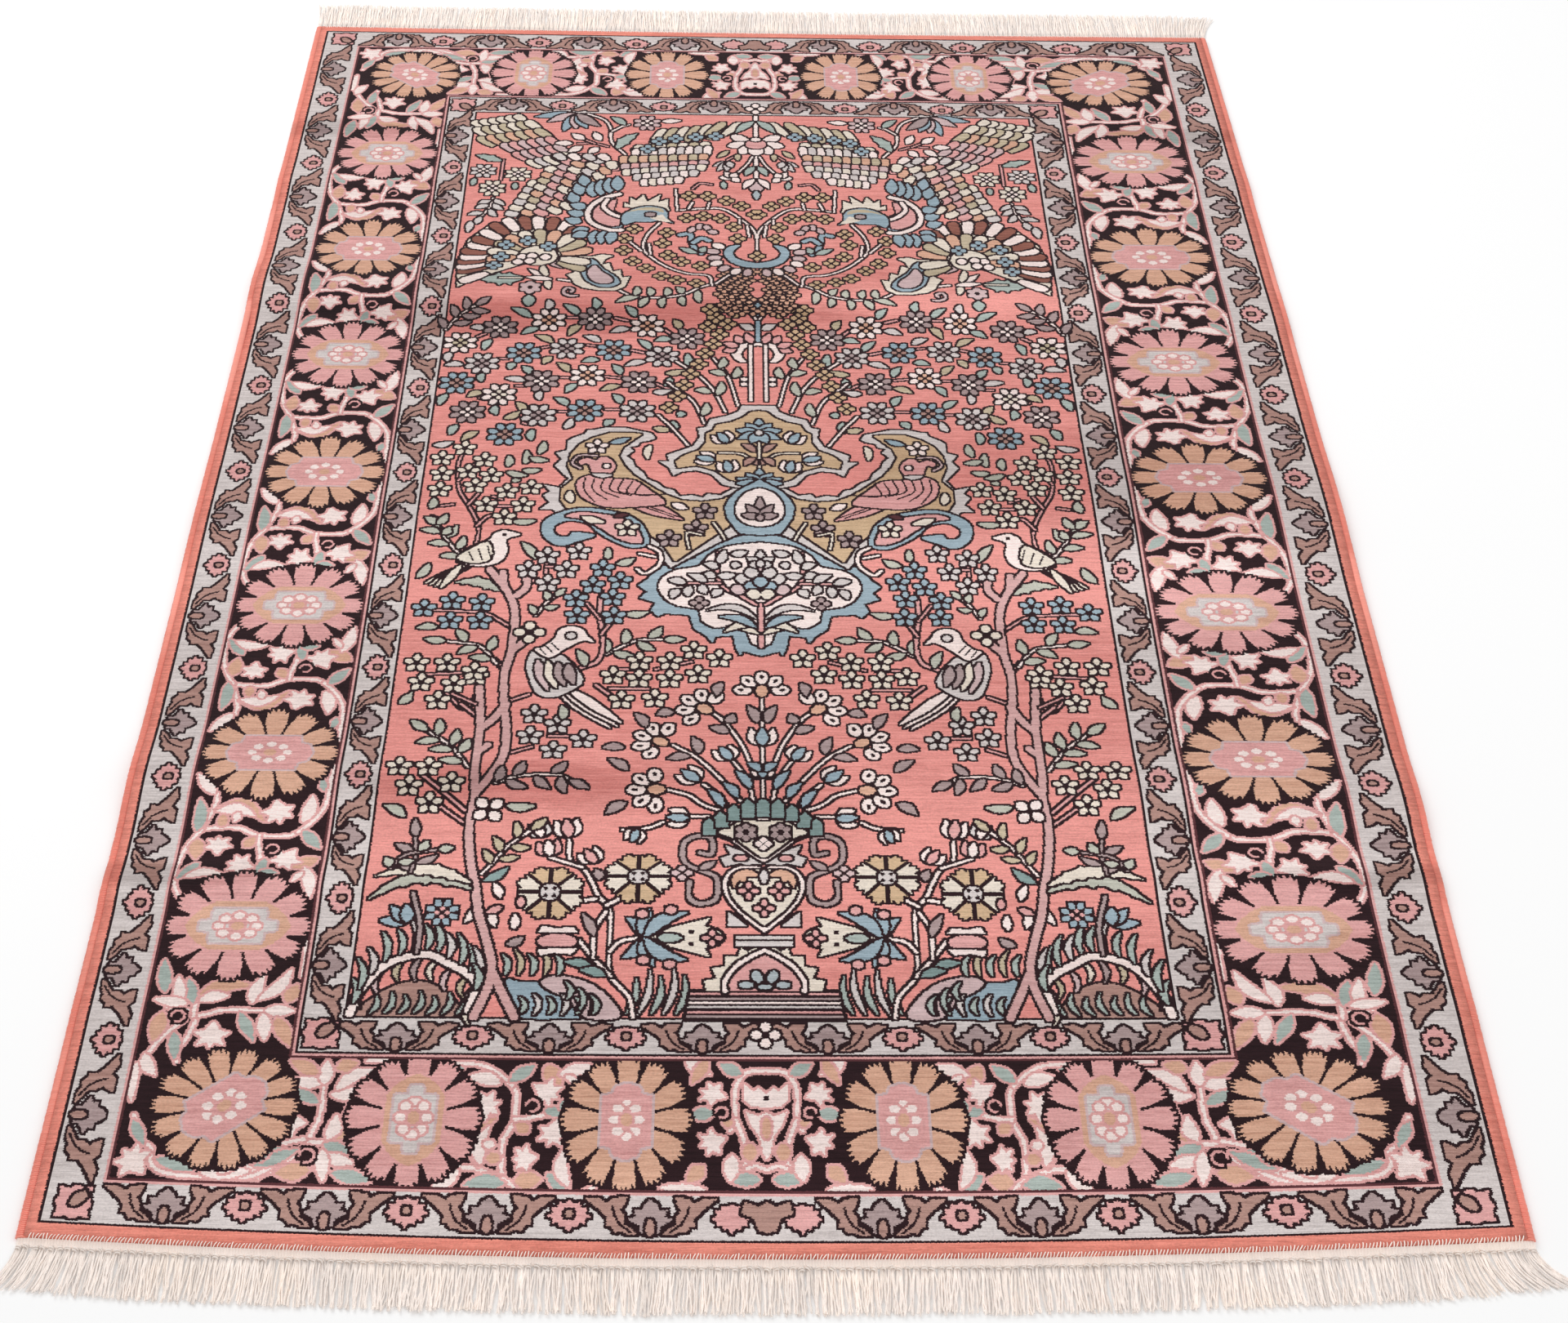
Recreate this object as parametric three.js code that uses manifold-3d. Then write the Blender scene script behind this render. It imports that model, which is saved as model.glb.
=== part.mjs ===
// A hand-knotted Indian rug lying on a floor: a knotted pile with a few soft cross folds left from
// the bale, an overcast cord along each side, and a woven end strip with its fringe at each end.
// Millimetres. X runs across the rug, Y along it away from the near end, Z up from the floor.

import * as THREE from "three";
import { mergeVertices } from "three/addons/utils/BufferGeometryUtils.js";
import Module from "manifold-3d";

// Driving dimensions
const RUG_WIDTH = 950; // over both side cords
const PILE_LENGTH = 1536; // from corner to corner, without the end strips
const PILE_THICKNESS = 6; // foundation and pile together
const CORD_WIDTH = 7; // overcast side cord, a flat bundle of outer warps
const CORD_HEIGHT = 4.6;
const SEAM_GAP = 0.3; // between pieces that are sewn or knotted to each other
const END_STRIP_DEPTH = 8; // woven web and the row of knots
const END_STRIP_THICKNESS = 2.6;
const STRAND_COUNT = 150; // at each end
const STRAND_LENGTH = 36; // beyond the strip
const STRAND_WIDTH = 3.4;
const STRAND_TIP_WIDTH = 2.7;
const STRAND_HEIGHT = 2;
const STRAND_ROOT = 3; // how far a strand starts inside its end strip
const STRAND_DRIFT = 1.4; // how far the tips wander sideways along an end,
const DRIFT_WAVE = 150; // over this length
const STRAND_RAGGED = 1.3; // how far the tips run in and out,
const RAGGED_WAVE = 17; // over this length
const STRIP_END = 0.5; // how far inside the side cords' outer faces a strip ends,
const STRAND_INSET = 1; // and how far inside the strip its outermost strand stands

// How true the rug's outline is
const NEAR_BOW = 15; // the near edge bulges out at its middle
const FAR_BOW = -3; // the far edge is drawn in at its middle
const BOW_REACH = 55; // how far into the rug a bow dies away

// How finely the surfaces are divided
const SHEET_COLUMNS = 18;
const LONGEST_ROW = 48;
const SHORTEST_ROW = 6;
const CORD_SIDES = 8;
const WELD_DISTANCE = 1e-3; // points closer than this are one point

const PILE_COLOUR = 0xd9776a;
const CORD_COLOUR = 0xdb7b66;
const FRINGE_COLOUR = 0xeee2d6;

const PILE_HALF = RUG_WIDTH / 2 - CORD_WIDTH - SEAM_GAP;
const HALF_LENGTH = PILE_LENGTH / 2;

// Cross folds: `at` is the crest on the centre line, from the middle of the pile, `slant` moves the
// crest along the rug from the left side to the right, and `left`, `middle` and `right` are the
// shares of the height there.
const FOLDS = [
  { at: -588, height: 1.6, reach: 34, slant: 8, left: 0.4, middle: 1.0, right: 0.5 },
  { at: -466, height: 3.2, reach: 30, slant: 14, left: 0.9, middle: 1.0, right: 0.7 },
  { at: -372, height: 4.6, reach: 62, slant: -18, left: 1.0, middle: 0.7, right: 0.9 },
  { at: -46, height: 4.2, reach: 118, slant: 26, left: 0.5, middle: 0.8, right: 1.0 },
  { at: 262, height: 5.4, reach: 66, slant: -30, left: 1.0, middle: 0.8, right: 0.9 },
  { at: 468, height: 2.2, reach: 40, slant: 10, left: 0.9, middle: 0.4, right: 0.8 },
];

// How each end's strands spread: `left` and `right` are how far the outermost tips swing outwards,
// and `spread` is how far from the corner that begins.
const FRINGES = [
  { name: "fringe_near", side: -1, left: 12, right: 21, spread: 90, phase: 0.4 },
  { name: "fringe_far", side: 1, left: 4, right: 11, spread: 70, phase: 2.1 },
];

// A smooth hump: 1 at the crest, 0 from one reach away.
function hump(distance, reach) {
  const t = Math.abs(distance) / reach;
  return t >= 1 ? 0 : 0.5 * (1 + Math.cos(Math.PI * t));
}

// How high the rug is lifted off the floor by its folds.
function lift(x, y) {
  const across = x / PILE_HALF;
  let height = 0;
  for (const fold of FOLDS) {
    const edge = across < 0 ? fold.left : fold.right;
    const share = fold.middle + (edge - fold.middle) * Math.min(1, Math.abs(across));
    height += fold.height * share * hump(y - fold.at - 0.5 * fold.slant * across, fold.reach);
  }
  return height;
}

// Where a point of the true rectangle lies once both ends are bowed.
function bowed(x, y) {
  const across = 1 - Math.min(1, (x / PILE_HALF) ** 2);
  const nearShift = -NEAR_BOW * Math.exp(-(y + HALF_LENGTH) / BOW_REACH);
  const farShift = FAR_BOW * Math.exp(-(HALF_LENGTH - y) / BOW_REACH);
  return y + across * (nearShift + farShift);
}

// Evenly spaced values from one end to the other, both included.
function spaced(from, to, steps) {
  return Array.from({ length: steps + 1 }, (_, i) => from + ((to - from) * i) / steps);
}

// The rows of the sheet: closer together over each fold, and never longer than the longest one.
function rowStops() {
  const marks = [-HALF_LENGTH + 0.4 * BOW_REACH, HALF_LENGTH];
  for (const fold of FOLDS) marks.push(...spaced(fold.at - fold.reach, fold.at + fold.reach, 4));
  marks.sort((a, b) => a - b);
  const rows = [-HALF_LENGTH];
  for (const mark of marks) {
    const last = rows[rows.length - 1];
    const steps = Math.ceil((mark - last) / LONGEST_ROW);
    if (mark - last > SHORTEST_ROW) rows.push(...spaced(last, mark, steps).slice(1));
  }
  return rows;
}

// A closed solid from stacked rings of points, each ring turning the same way, with flat ends.
function skin(rings) {
  const sides = rings[0].length;
  const positions = rings.flat().flatMap((p) => [p.x, p.y, p.z]);
  const faces = [];
  for (let ring = 0; ring + 1 < rings.length; ring++)
    for (let side = 0; side < sides; side++) {
      const next = (side + 1) % sides;
      const [a, b] = [ring * sides + side, ring * sides + next];
      const [c, d] = [a + sides, b + sides];
      faces.push(a, b, d, a, d, c);
    }
  const last = (rings.length - 1) * sides;
  for (let side = 1; side + 1 < sides; side++) {
    faces.push(0, side + 1, side);
    faces.push(last, last + side, last + side + 1);
  }
  const geometry = new THREE.BufferGeometry();
  geometry.setAttribute("position", new THREE.Float32BufferAttribute(positions, 3));
  geometry.setIndex(faces);
  return geometry;
}

// A closed slab between two surfaces that share a grid of columns and rows.
function slab(columns, rows, underside, topside) {
  const across = columns.length;
  const at = (level, row, column) => (level * rows.length + row) * across + column;
  const positions = [];
  for (const surface of [underside, topside])
    for (const row of rows) for (const column of columns) positions.push(...surface(column, row));
  const faces = [];
  const quad = (a, b, c, d) => faces.push(a, b, c, a, c, d);
  for (let r = 0; r + 1 < rows.length; r++)
    for (let c = 0; c + 1 < across; c++) {
      quad(at(0, r, c), at(0, r + 1, c), at(0, r + 1, c + 1), at(0, r, c + 1));
      quad(at(1, r, c), at(1, r, c + 1), at(1, r + 1, c + 1), at(1, r + 1, c));
    }
  const [lastRow, lastColumn] = [rows.length - 1, across - 1];
  for (let c = 0; c < lastColumn; c++) {
    quad(at(0, 0, c), at(0, 0, c + 1), at(1, 0, c + 1), at(1, 0, c));
    quad(at(0, lastRow, c + 1), at(0, lastRow, c), at(1, lastRow, c), at(1, lastRow, c + 1));
  }
  for (let r = 0; r < lastRow; r++) {
    quad(at(0, r + 1, 0), at(0, r, 0), at(1, r, 0), at(1, r + 1, 0));
    const [low, high] = [at(0, r, lastColumn), at(0, r + 1, lastColumn)];
    quad(low, high, at(1, r + 1, lastColumn), at(1, r, lastColumn));
  }
  const geometry = new THREE.BufferGeometry();
  geometry.setAttribute("position", new THREE.Float32BufferAttribute(positions, 3));
  geometry.setIndex(faces);
  return geometry;
}

// The knotted sheet, folds and bowed ends included.
function pileSheet() {
  const surface = (up) => (x, y) => [x, bowed(x, y), lift(x, y) + up];
  const columns = spaced(-PILE_HALF, PILE_HALF, SHEET_COLUMNS);
  return slab(columns, rowStops(), surface(0), surface(PILE_THICKNESS));
}

// The overcast cord beside the pile, which rises and falls with the folds. Its section is a squared
// oval whose underside lies flat.
function sideCord(side) {
  const [halfWidth, halfHeight] = [CORD_WIDTH / 2, CORD_HEIGHT / 2];
  const centre = side * (PILE_HALF + SEAM_GAP + halfWidth);
  const overshoot = 1 / Math.cos(Math.PI / CORD_SIDES);
  const section = spaced(0, CORD_SIDES - 1, CORD_SIDES - 1).map((corner) => {
    const angle = ((corner + 0.5) * 2 * Math.PI) / CORD_SIDES;
    return { out: halfWidth * overshoot * Math.cos(angle), up: halfHeight * overshoot * Math.sin(angle) };
  });
  const rings = rowStops().map((y) =>
    section.map(({ out, up }) => {
      const height = lift(side * PILE_HALF, y) + halfHeight + up;
      return new THREE.Vector3(centre - out, y, height);
    }),
  );
  return skin(rings);
}

// One strand of fringe: three-sided, its flat side on the floor, from inside the strip to its tip.
// It leaves the strip straight and swings out towards its tip.
function strand(root, tip, side) {
  const middle = new THREE.Vector2(root.x + 0.35 * (tip.x - root.x), (root.y + tip.y) / 2);
  const stations = [
    { point: root, width: STRAND_WIDTH },
    { point: middle, width: STRAND_WIDTH },
    { point: tip, width: STRAND_TIP_WIDTH },
  ];
  const rings = stations.map(({ point, width }) => {
    const half = width / 2;
    return [
      new THREE.Vector3(point.x + side * half, point.y, 0),
      new THREE.Vector3(point.x - side * half, point.y, 0),
      new THREE.Vector3(point.x, point.y, STRAND_HEIGHT),
    ];
  });
  return skin(rings);
}

const wasm = await Module();
wasm.setup();

function solidOf(geometry) {
  const bare = geometry.clone();
  bare.deleteAttribute("normal");
  bare.deleteAttribute("uv");
  const merged = mergeVertices(bare, WELD_DISTANCE);
  return new wasm.Manifold(
    new wasm.Mesh({
      numProp: 3,
      vertProperties: merged.attributes.position.array,
      triVerts: new Uint32Array(merged.index.array),
    }),
  );
}

function geometryOf(solid) {
  const mesh = solid.getMesh();
  const positions = [];
  for (let i = 0; i < mesh.vertProperties.length; i += mesh.numProp)
    positions.push(...mesh.vertProperties.slice(i, i + 3));
  const geometry = new THREE.BufferGeometry();
  geometry.setAttribute("position", new THREE.Float32BufferAttribute(positions, 3));
  geometry.setIndex([...mesh.triVerts]);
  return geometry;
}

// A woven end strip with its strands fused into its outer half.
function endFringe({ side, left, right, spread, phase }) {
  const edge = (x, out) => bowed(x, side * HALF_LENGTH) + side * (SEAM_GAP + out);
  const half = RUG_WIDTH / 2 - STRIP_END;
  const depths = side < 0 ? [END_STRIP_DEPTH, 0] : [0, END_STRIP_DEPTH];
  const surface = (up) => (x, out) => [x, edge(x, out), up];
  const columns = spaced(-half, half, SHEET_COLUMNS);
  const strip = slab(columns, depths, surface(0), surface(END_STRIP_THICKNESS));

  const reach = half - STRAND_INSET - STRAND_WIDTH / 2;
  const strands = spaced(-reach, reach, STRAND_COUNT - 1).map((x) => {
    const fromCorner = reach - Math.abs(x);
    const swing = Math.max(0, 1 - fromCorner / spread) ** 1.6;
    const outward = x < 0 ? -left * swing : right * swing;
    const drift = STRAND_DRIFT * Math.sin((2 * Math.PI * x) / DRIFT_WAVE + phase);
    const ragged = STRAND_RAGGED * Math.sin((2 * Math.PI * x) / RAGGED_WAVE + phase);
    const length = STRAND_LENGTH + ragged - 0.25 * Math.abs(outward);
    const root = new THREE.Vector2(x, edge(x, END_STRIP_DEPTH - STRAND_ROOT));
    const tip = new THREE.Vector2(x + outward + drift, edge(x, END_STRIP_DEPTH + length));
    return solidOf(strand(root, tip, side));
  });
  return geometryOf(wasm.Manifold.union([solidOf(strip), ...strands]));
}

const yarn = (color, roughness) => new THREE.MeshStandardMaterial({ color, roughness, metalness: 0 });

function piece(name, geometry, material) {
  geometry.computeVertexNormals();
  const mesh = new THREE.Mesh(geometry, material);
  mesh.name = name;
  return mesh;
}

const rug = new THREE.Group();
rug.add(
  piece("pile_sheet", pileSheet(), yarn(PILE_COLOUR, 0.6)),
  piece("selvedge_left", sideCord(-1), yarn(CORD_COLOUR, 0.7)),
  piece("selvedge_right", sideCord(1), yarn(CORD_COLOUR, 0.7)),
);
for (const fringe of FRINGES)
  rug.add(piece(fringe.name, endFringe(fringe), yarn(FRINGE_COLOUR, 0.85)));

// The origin is the middle of the whole rug's footprint, on the floor.
const footprint = new THREE.Box3().setFromObject(rug);
rug.position.x = -(footprint.min.x + footprint.max.x) / 2;
rug.position.y = -(footprint.min.y + footprint.max.y) / 2;

const part = new THREE.Group();
part.add(rug);

export default part;
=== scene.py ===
import math

import bpy
import numpy as np
from mathutils import Matrix, Vector


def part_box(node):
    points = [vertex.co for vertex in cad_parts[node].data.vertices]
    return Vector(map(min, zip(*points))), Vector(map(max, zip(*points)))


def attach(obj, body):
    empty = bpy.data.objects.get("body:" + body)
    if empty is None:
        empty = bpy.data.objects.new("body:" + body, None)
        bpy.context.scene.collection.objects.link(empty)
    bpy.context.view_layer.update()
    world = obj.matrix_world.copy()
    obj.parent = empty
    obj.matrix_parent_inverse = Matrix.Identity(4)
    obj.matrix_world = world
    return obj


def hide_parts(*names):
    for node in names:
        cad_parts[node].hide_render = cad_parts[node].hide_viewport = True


bl_info = {
    "name": "Knotted rug",
    "version": (1, 0, 0),
    "blender": (4, 5, 0),
    "location": "3D View > Sidebar > Rug",
    "description": "A knotted vase and tree rug with overcast sides and knotted fringe",
    "category": "Object",
}

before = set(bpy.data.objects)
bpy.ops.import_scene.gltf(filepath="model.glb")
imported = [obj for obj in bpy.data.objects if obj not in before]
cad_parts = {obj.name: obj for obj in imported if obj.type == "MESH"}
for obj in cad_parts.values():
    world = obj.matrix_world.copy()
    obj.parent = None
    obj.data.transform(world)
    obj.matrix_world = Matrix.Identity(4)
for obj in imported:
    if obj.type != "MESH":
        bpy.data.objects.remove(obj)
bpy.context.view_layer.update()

# Sizes in metres. The frame gives where the pile lies and how large it is.
MM = 0.001
PILE_LOW, PILE_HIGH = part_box("pile_sheet")
PILE_HALF = (PILE_HIGH.x - PILE_LOW.x) / 2
NEAR_BOW = 15 * MM
FAR_BOW = -3 * MM
NEAR_BOW_REACH = 140 * MM
FAR_BOW_REACH = 55 * MM
PILE_HALF_LENGTH = (PILE_HIGH.y - PILE_LOW.y - NEAR_BOW) / 2
PILE_TOP = 6 * MM
BACK_TOP = 1.5 * MM
MIDDLE_X = (PILE_LOW.x + PILE_HIGH.x) / 2
MIDDLE_Y = PILE_HIGH.y - PILE_HALF_LENGTH
SEAM_GAP = 0.3 * MM
CORD_WIDTH = 7 * MM
CORD_HEIGHT = 4.6 * MM
CORD_LIFT = 2.6 * MM
CORD_MIDDLE = PILE_HALF + SEAM_GAP + CORD_WIDTH / 2
WRAP_SIDES = 10
YARN_STEPS = 9
WEB_HALF_WIDTH = 474.5 * MM
WEB_DEPTH = 5.2 * MM
WEB_THICKNESS = 1.5 * MM
WEB_CLIMB = 1.9 * MM
RIB_PITCH = 1.9 * MM
ROOTS_WIDTH = 2.6 * MM
YARN_SPREAD = 5.0 * MM
STITCH_PITCH = 2.15 * MM
DRIFT = 1.4 * MM
DRIFT_WAVE = 150 * MM

# How far the rug lies aside from its even shape: a share of the way from the middle line to a side
# (the left is negative), and the millimetres it is out there.
ASIDE = [(-1.0, -1), (-0.91, -3), (-0.85, -5), (-0.68, -6.5), (-0.4, -7), (0.0, -6.5), (0.3, -9),
    (0.45, -12), (0.57, -12.5), (0.7, -6), (0.85, 3), (0.95, 7), (1.0, 10)]

# How far the rows of knots lie from their even place: a share of the way from the middle to an end
# (the near end is negative), and the millimetres toward the far end.
ONWARD = [(-1.0, 0), (-0.985, -3), (-0.96, -2.5), (-0.94, -1), (-0.87, 4), (-0.77, 4), (-0.65, 3),
    (-0.5, 2), (-0.25, 1), (0.0, 0), (0.2, 1), (0.4, 0), (1.0, 0)]

# The camera: where it stands from the middle of the pile, its axes and its lens in millimetres.
CAMERA_FROM_MIDDLE = Vector((-34.7, -1713.2, 1358.0)) * MM
CAMERA_RIGHT = Vector((0.9997, -0.0121, 0.0209))
CAMERA_DOWN = Vector((0.0073, -0.6744, -0.7383))
LENS = 58.83

# The fringes: the end, how much longer its yarns are, how far each corner's yarns swing outward (mm),
# the width over which the swing dies out (mm), and the phase of the yarns' drift.
FRINGES = [
    dict(name="near", side=-1, longer=1.0, left=12, right=21, spread=90, phase=0.4),
    dict(name="far", side=1, longer=1.4, left=4, right=11, spread=70, phase=2.1),
]

# The cross folds: the crest's place on the middle line, its height, its reach along the rug, how far
# the crest slants from side to side, and its share of the height at the left, middle and right.
FOLDS = [
    dict(at=-588, height=1.6, reach=34, slant=8, left=0.4, middle=1.0, right=0.5),
    dict(at=-466, height=3.2, reach=30, slant=14, left=0.9, middle=1.0, right=0.7),
    dict(at=-372, height=4.6, reach=62, slant=-18, left=1.0, middle=0.7, right=0.9),
    dict(at=-46, height=4.2, reach=118, slant=26, left=0.5, middle=0.8, right=1.0),
    dict(at=262, height=5.4, reach=66, slant=-30, left=1.0, middle=0.8, right=0.3),
    dict(at=468, height=2.2, reach=40, slant=10, left=0.9, middle=0.4, right=0.8),
]

# The knot chart: its size in steps of the drawing, the knots to a step, how many knots a side share
# one face of the sheet, and how many of them one packed number holds.
COLUMNS = 512
ROWS = 832
HALF_COLUMNS = COLUMNS // 2
FINE = 2
PATCH = 8
PACK = 4
CODE_BASE = 32

# Dyed yarns in display values. A yarn's place in the list is its palette number.
YARNS = {
    "black": (0.175, 0.10, 0.115),
    "coral": (0.905, 0.60, 0.57),
    "edge": (0.93, 0.575, 0.51),
    "grey": (0.835, 0.795, 0.785),
    "ivory": (0.955, 0.885, 0.865),
    "pink": (0.87, 0.65, 0.64),
    "tan": (0.855, 0.675, 0.58),
    "mauve": (0.68, 0.595, 0.59),
    "brown": (0.70, 0.55, 0.51),
    "blue": (0.615, 0.685, 0.725),
    "sage": (0.675, 0.715, 0.69),
    "olive": (0.77, 0.71, 0.61),
    "maroon": (0.36, 0.20, 0.215),
    "rust": (0.59, 0.38, 0.33),
    "rose": (0.88, 0.66, 0.65),
    "lilac": (0.82, 0.715, 0.715),
    "slate": (0.70, 0.73, 0.745),
    "sand": (0.90, 0.85, 0.795),
    "teal": (0.53, 0.61, 0.60),
    "bark": (0.83, 0.66, 0.65),
    "moss": (0.745, 0.74, 0.69),
    "gold": (0.81, 0.69, 0.56),
}
YARN_NUMBER = {name: number for number, name in enumerate(YARNS)}


# The chart: places are complex numbers, steps outward from the middle line and steps up from the
# near end. Angles are in degrees from outward towards the far end.


def turned(points, angle):
    return np.asarray(points, complex) * np.exp(1j * math.radians(angle))


def curve(points, closed=False, steps=5):
    """Points along a smooth curve through the ones given."""
    p = np.array(points, complex)
    if closed:
        a, b, c, d = np.roll(p, 1), p, np.roll(p, -1), np.roll(p, -2)
    else:
        p = np.concatenate([[2 * p[0] - p[1]], p, [2 * p[-1] - p[-2]]])
        a, b, c, d = p[:-3], p[1:-2], p[2:-1], p[3:]
    t = (np.arange(steps) / steps)[None, :]
    a, b, c, d = (q[:, None] for q in (a, b, c, d))
    smooth = b + 0.5 * t * (c - a + t * (2 * a - 5 * b + 4 * c - d + t * (3 * (b - c) + d - a)))
    smooth = smooth.ravel()
    return smooth if closed else np.append(smooth, p[-2])


def mirrored(half):
    """A closed outline from its upper half, which runs from its back to its front."""
    half = np.asarray(half, complex)
    return np.concatenate([half, np.conj(half[::-1])])


def oval(at, long, wide, angle=0.0):
    t = np.linspace(0, 2 * math.pi, 14, endpoint=False)
    return at + turned(long * np.cos(t) + 1j * wide * np.sin(t), angle)


def around(count, radius, angle):
    return turned(radius * np.exp(2j * math.pi * np.arange(count) / count), angle)


def leaf_shape(base, tip, width, bend, teeth):
    """A leaf from its base to its tip. A bend carries its middle to the left of that line, and
    teeth give it a sawn edge."""
    t = np.linspace(0, 1, 9 if not teeth else 4 * teeth + 1)
    half = 0.5 * width * np.sin(math.pi * t**0.85)
    if teeth:
        half = half * np.where(np.arange(t.size) % 4 == 1, 1.25, 0.85)
    length = abs(tip - base)
    middle = length * (t + 0j) + 1j * bend * np.sin(math.pi * t)
    outline = np.concatenate([middle + 1j * half, (middle - 1j * half)[::-1]])
    return base + outline * (tip - base) / max(length, 1e-6)


def petal_shape(base, angle, length, width):
    """A petal that starts narrow and is widest towards its round tip."""
    t = np.array([0.0, 0.25, 0.5, 0.72, 0.9, 1.0])
    half = 0.5 * width * np.array([0.3, 0.72, 0.95, 1.0, 0.62, 0.1])
    return base + turned(mirrored(length * t + 1j * half), angle)


# The rug's left half, one palette number a knot. The right half is its mirror image.
KNOTS = np.full((ROWS * FINE, HALF_COLUMNS * FINE), YARN_NUMBER["edge"], np.uint8)


def window(points, margin):
    """The part of the chart round some points, and where its knots lie."""
    left = max(int((points.real.min() - margin) * FINE), 0)
    right = min(int((points.real.max() + margin + 2) * FINE), HALF_COLUMNS * FINE)
    low = max(int((points.imag.min() - margin) * FINE), 0)
    high = min(int((points.imag.max() + margin + 2) * FINE), ROWS * FINE)
    across, along = np.meshgrid((np.arange(left, right) + 0.5) / FINE, (np.arange(low, high) + 0.5) / FINE)
    return KNOTS[low:high, left:right], across, along


def lay(part, masks, colours, line):
    """Dyes the knots under the masks, and a line round them that is a step wide."""
    if line is not None:
        ring = np.logical_or.reduce(masks)
        for k in range(FINE):
            whole = ring.copy()
            ring[1:] |= whole[:-1]
            ring[:-1] |= whole[1:]
            tall = whole if k % 2 and line != "black" else ring.copy()
            ring[:, 1:] |= tall[:, :-1]
            ring[:, :-1] |= tall[:, 1:]
        part[ring] = YARN_NUMBER[line]
    for mask, colour in zip(masks, colours):
        part[mask] = YARN_NUMBER[colour]


def fill(outlines, colours, line="black"):
    """Fills one closed outline, or several inside one line, each with its colour."""
    if np.isscalar(outlines[0]):
        outlines = [outlines]
    if isinstance(colours, str):
        colours = [colours] * len(outlines)
    outlines = [np.asarray(outline, complex) for outline in outlines]
    part, across, along = window(np.concatenate(outlines), 2)
    masks = []
    for outline in outlines if part.size else ():
        x1, y1 = outline.real[:, None, None], outline.imag[:, None, None] + 1e-4
        x2, y2 = np.roll(x1, -1, 0), np.roll(y1, -1, 0)
        rise = np.where(y2 == y1, 1.0, y2 - y1)
        crossed = (y1 <= along) != (y2 <= along)
        crossed &= across < (x2 - x1) * (along - y1) / rise + x1
        masks.append(np.logical_xor.reduce(crossed, axis=0))
    if masks:
        lay(part, masks, colours, line)


def stroke(points, width, colour, line="black"):
    """A stripe of a given width along a run of points."""
    points = np.asarray(points, complex)
    part, across, along = window(points, width + 2)
    if part.size:
        here = across + 1j * along
        near = np.full(here.shape, 1e9)
        for a, b in zip(points[:-1], points[1:]):
            step = b - a
            share = np.clip(((here - a) * np.conj(step)).real / max(abs(step) ** 2, 1e-9), 0, 1)
            near = np.minimum(near, abs(here - a - share * step))
        lay(part, [near <= width / 2], [colour], line)


def stem(points, width, colour="ivory"):
    stroke(curve(points), 0.7 * width, colour)


def leaf(base, tip, width, bend, colour, teeth=0, line="black"):
    fill(leaf_shape(base, tip, width, bend, teeth), colour, line)


def spot(at, long, wide, colour, angle=0.0, line="black"):
    fill(oval(at, long, wide, angle), colour, line)


def blob(points, colour, line="black"):
    """Fills a smooth outline through the points."""
    fill(curve(points, True, 3), colour, line)


def blossom(at, petals, radius, long, wide, colour, angle=90, heart="black", line="black"):
    """Oval petals round a heart."""
    if heart is not None:
        spot(at, radius * 0.75, radius * 0.75, heart, line=line)
    fill([oval(at + place, long, wide, angle + 360 * k / petals) for k,
        place in enumerate(around(petals, radius, angle))], colour, line)
# The frame of the chart: how far each band reaches from the middle line and from the ends, in steps.
BANDS = [
    dict(across=253, along=6, yarn="black"),
    dict(across=252, along=7, yarn="grey"),
    dict(across=233, along=23, yarn="pink"),
    dict(across=232, along=24, yarn="maroon"),
    dict(across=231, along=25, yarn="black"),
    dict(across=174, along=76, yarn="maroon"),
    dict(across=173, along=77, yarn="pink"),
    dict(across=172, along=78, yarn="black"),
    dict(across=171, along=79, yarn="grey"),
    dict(across=156, along=94, yarn="black"),
    dict(across=155, along=95, yarn="coral"),
]
MAIN_OUTER = BANDS[4]
MAIN_INNER = BANDS[5]


class Strip:
    """A guard strip: a run along it and a height above its foot become places on the chart."""

    def __init__(self, start, onward, inward, stretch, rise):
        self.start, self.onward = start, onward
        self.inward, self.stretch = inward * rise, stretch

    def put(self, run, points):
        points = np.asarray(points, complex)
        return self.start + (run + points.real) * self.onward + points.imag * self.inward

    def fill(self, run, points, colour):
        fill(self.put(run, points), colour)


def both_sides(half):
    """A closed outline from its right half, which runs from its foot to its top."""
    half = np.asarray(half, complex)
    return np.concatenate([half, -np.conj(half[::-1])])


PALMETTE = both_sides([1.6+1.2j, 3.4+2j, 3.6+4.4j, 7.8+7j, 5+8.2j, 5.8+10.4j, 3.2+10.4j, 2.4+12.4j, 14.6j])
GUARD_FLOWER = both_sides([1.6j, 1.4+3.8j, 2.8+3.2j, 3.4+5j, 5.4+4.6j, 5+6.4j, 7.2+7.4j, 5.2+8.6j,
    5.8+10.4j, 3.8+10.4j, 3.4+12.4j, 1.6+12j, 13j])
GUARD_LEAF = np.array([5+1j, 9+1j, 12+2.4j, 14+1.8j, 16+4j, 18+4j, 17.6+7.4j, 21+10.6j, 27+14.8j, 21.6+15j,
    17.6+13j, 15.6+15j, 9.6+15.4j, 10.8+12.6j, 12.4+10.6j, 10.6+8.4j, 10.4+5j, 7+3j])
GUARD_RIB = np.array([8+2j, 12.4+5j, 14.6+8.4j, 15.6+11.6j])
LEAF_STEP = 33.0


def guard_leaf(strip, run, way):
    """A forked brown leaf from a palmette's foot up to the next flower, with a dark rib."""
    edge, rib = (way * p.real * strip.stretch + 1j * p.imag for p in (GUARD_LEAF, GUARD_RIB))
    strip.fill(run, edge, "brown")
    stroke(strip.put(run, rib), 1.0, "black", None)


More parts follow.
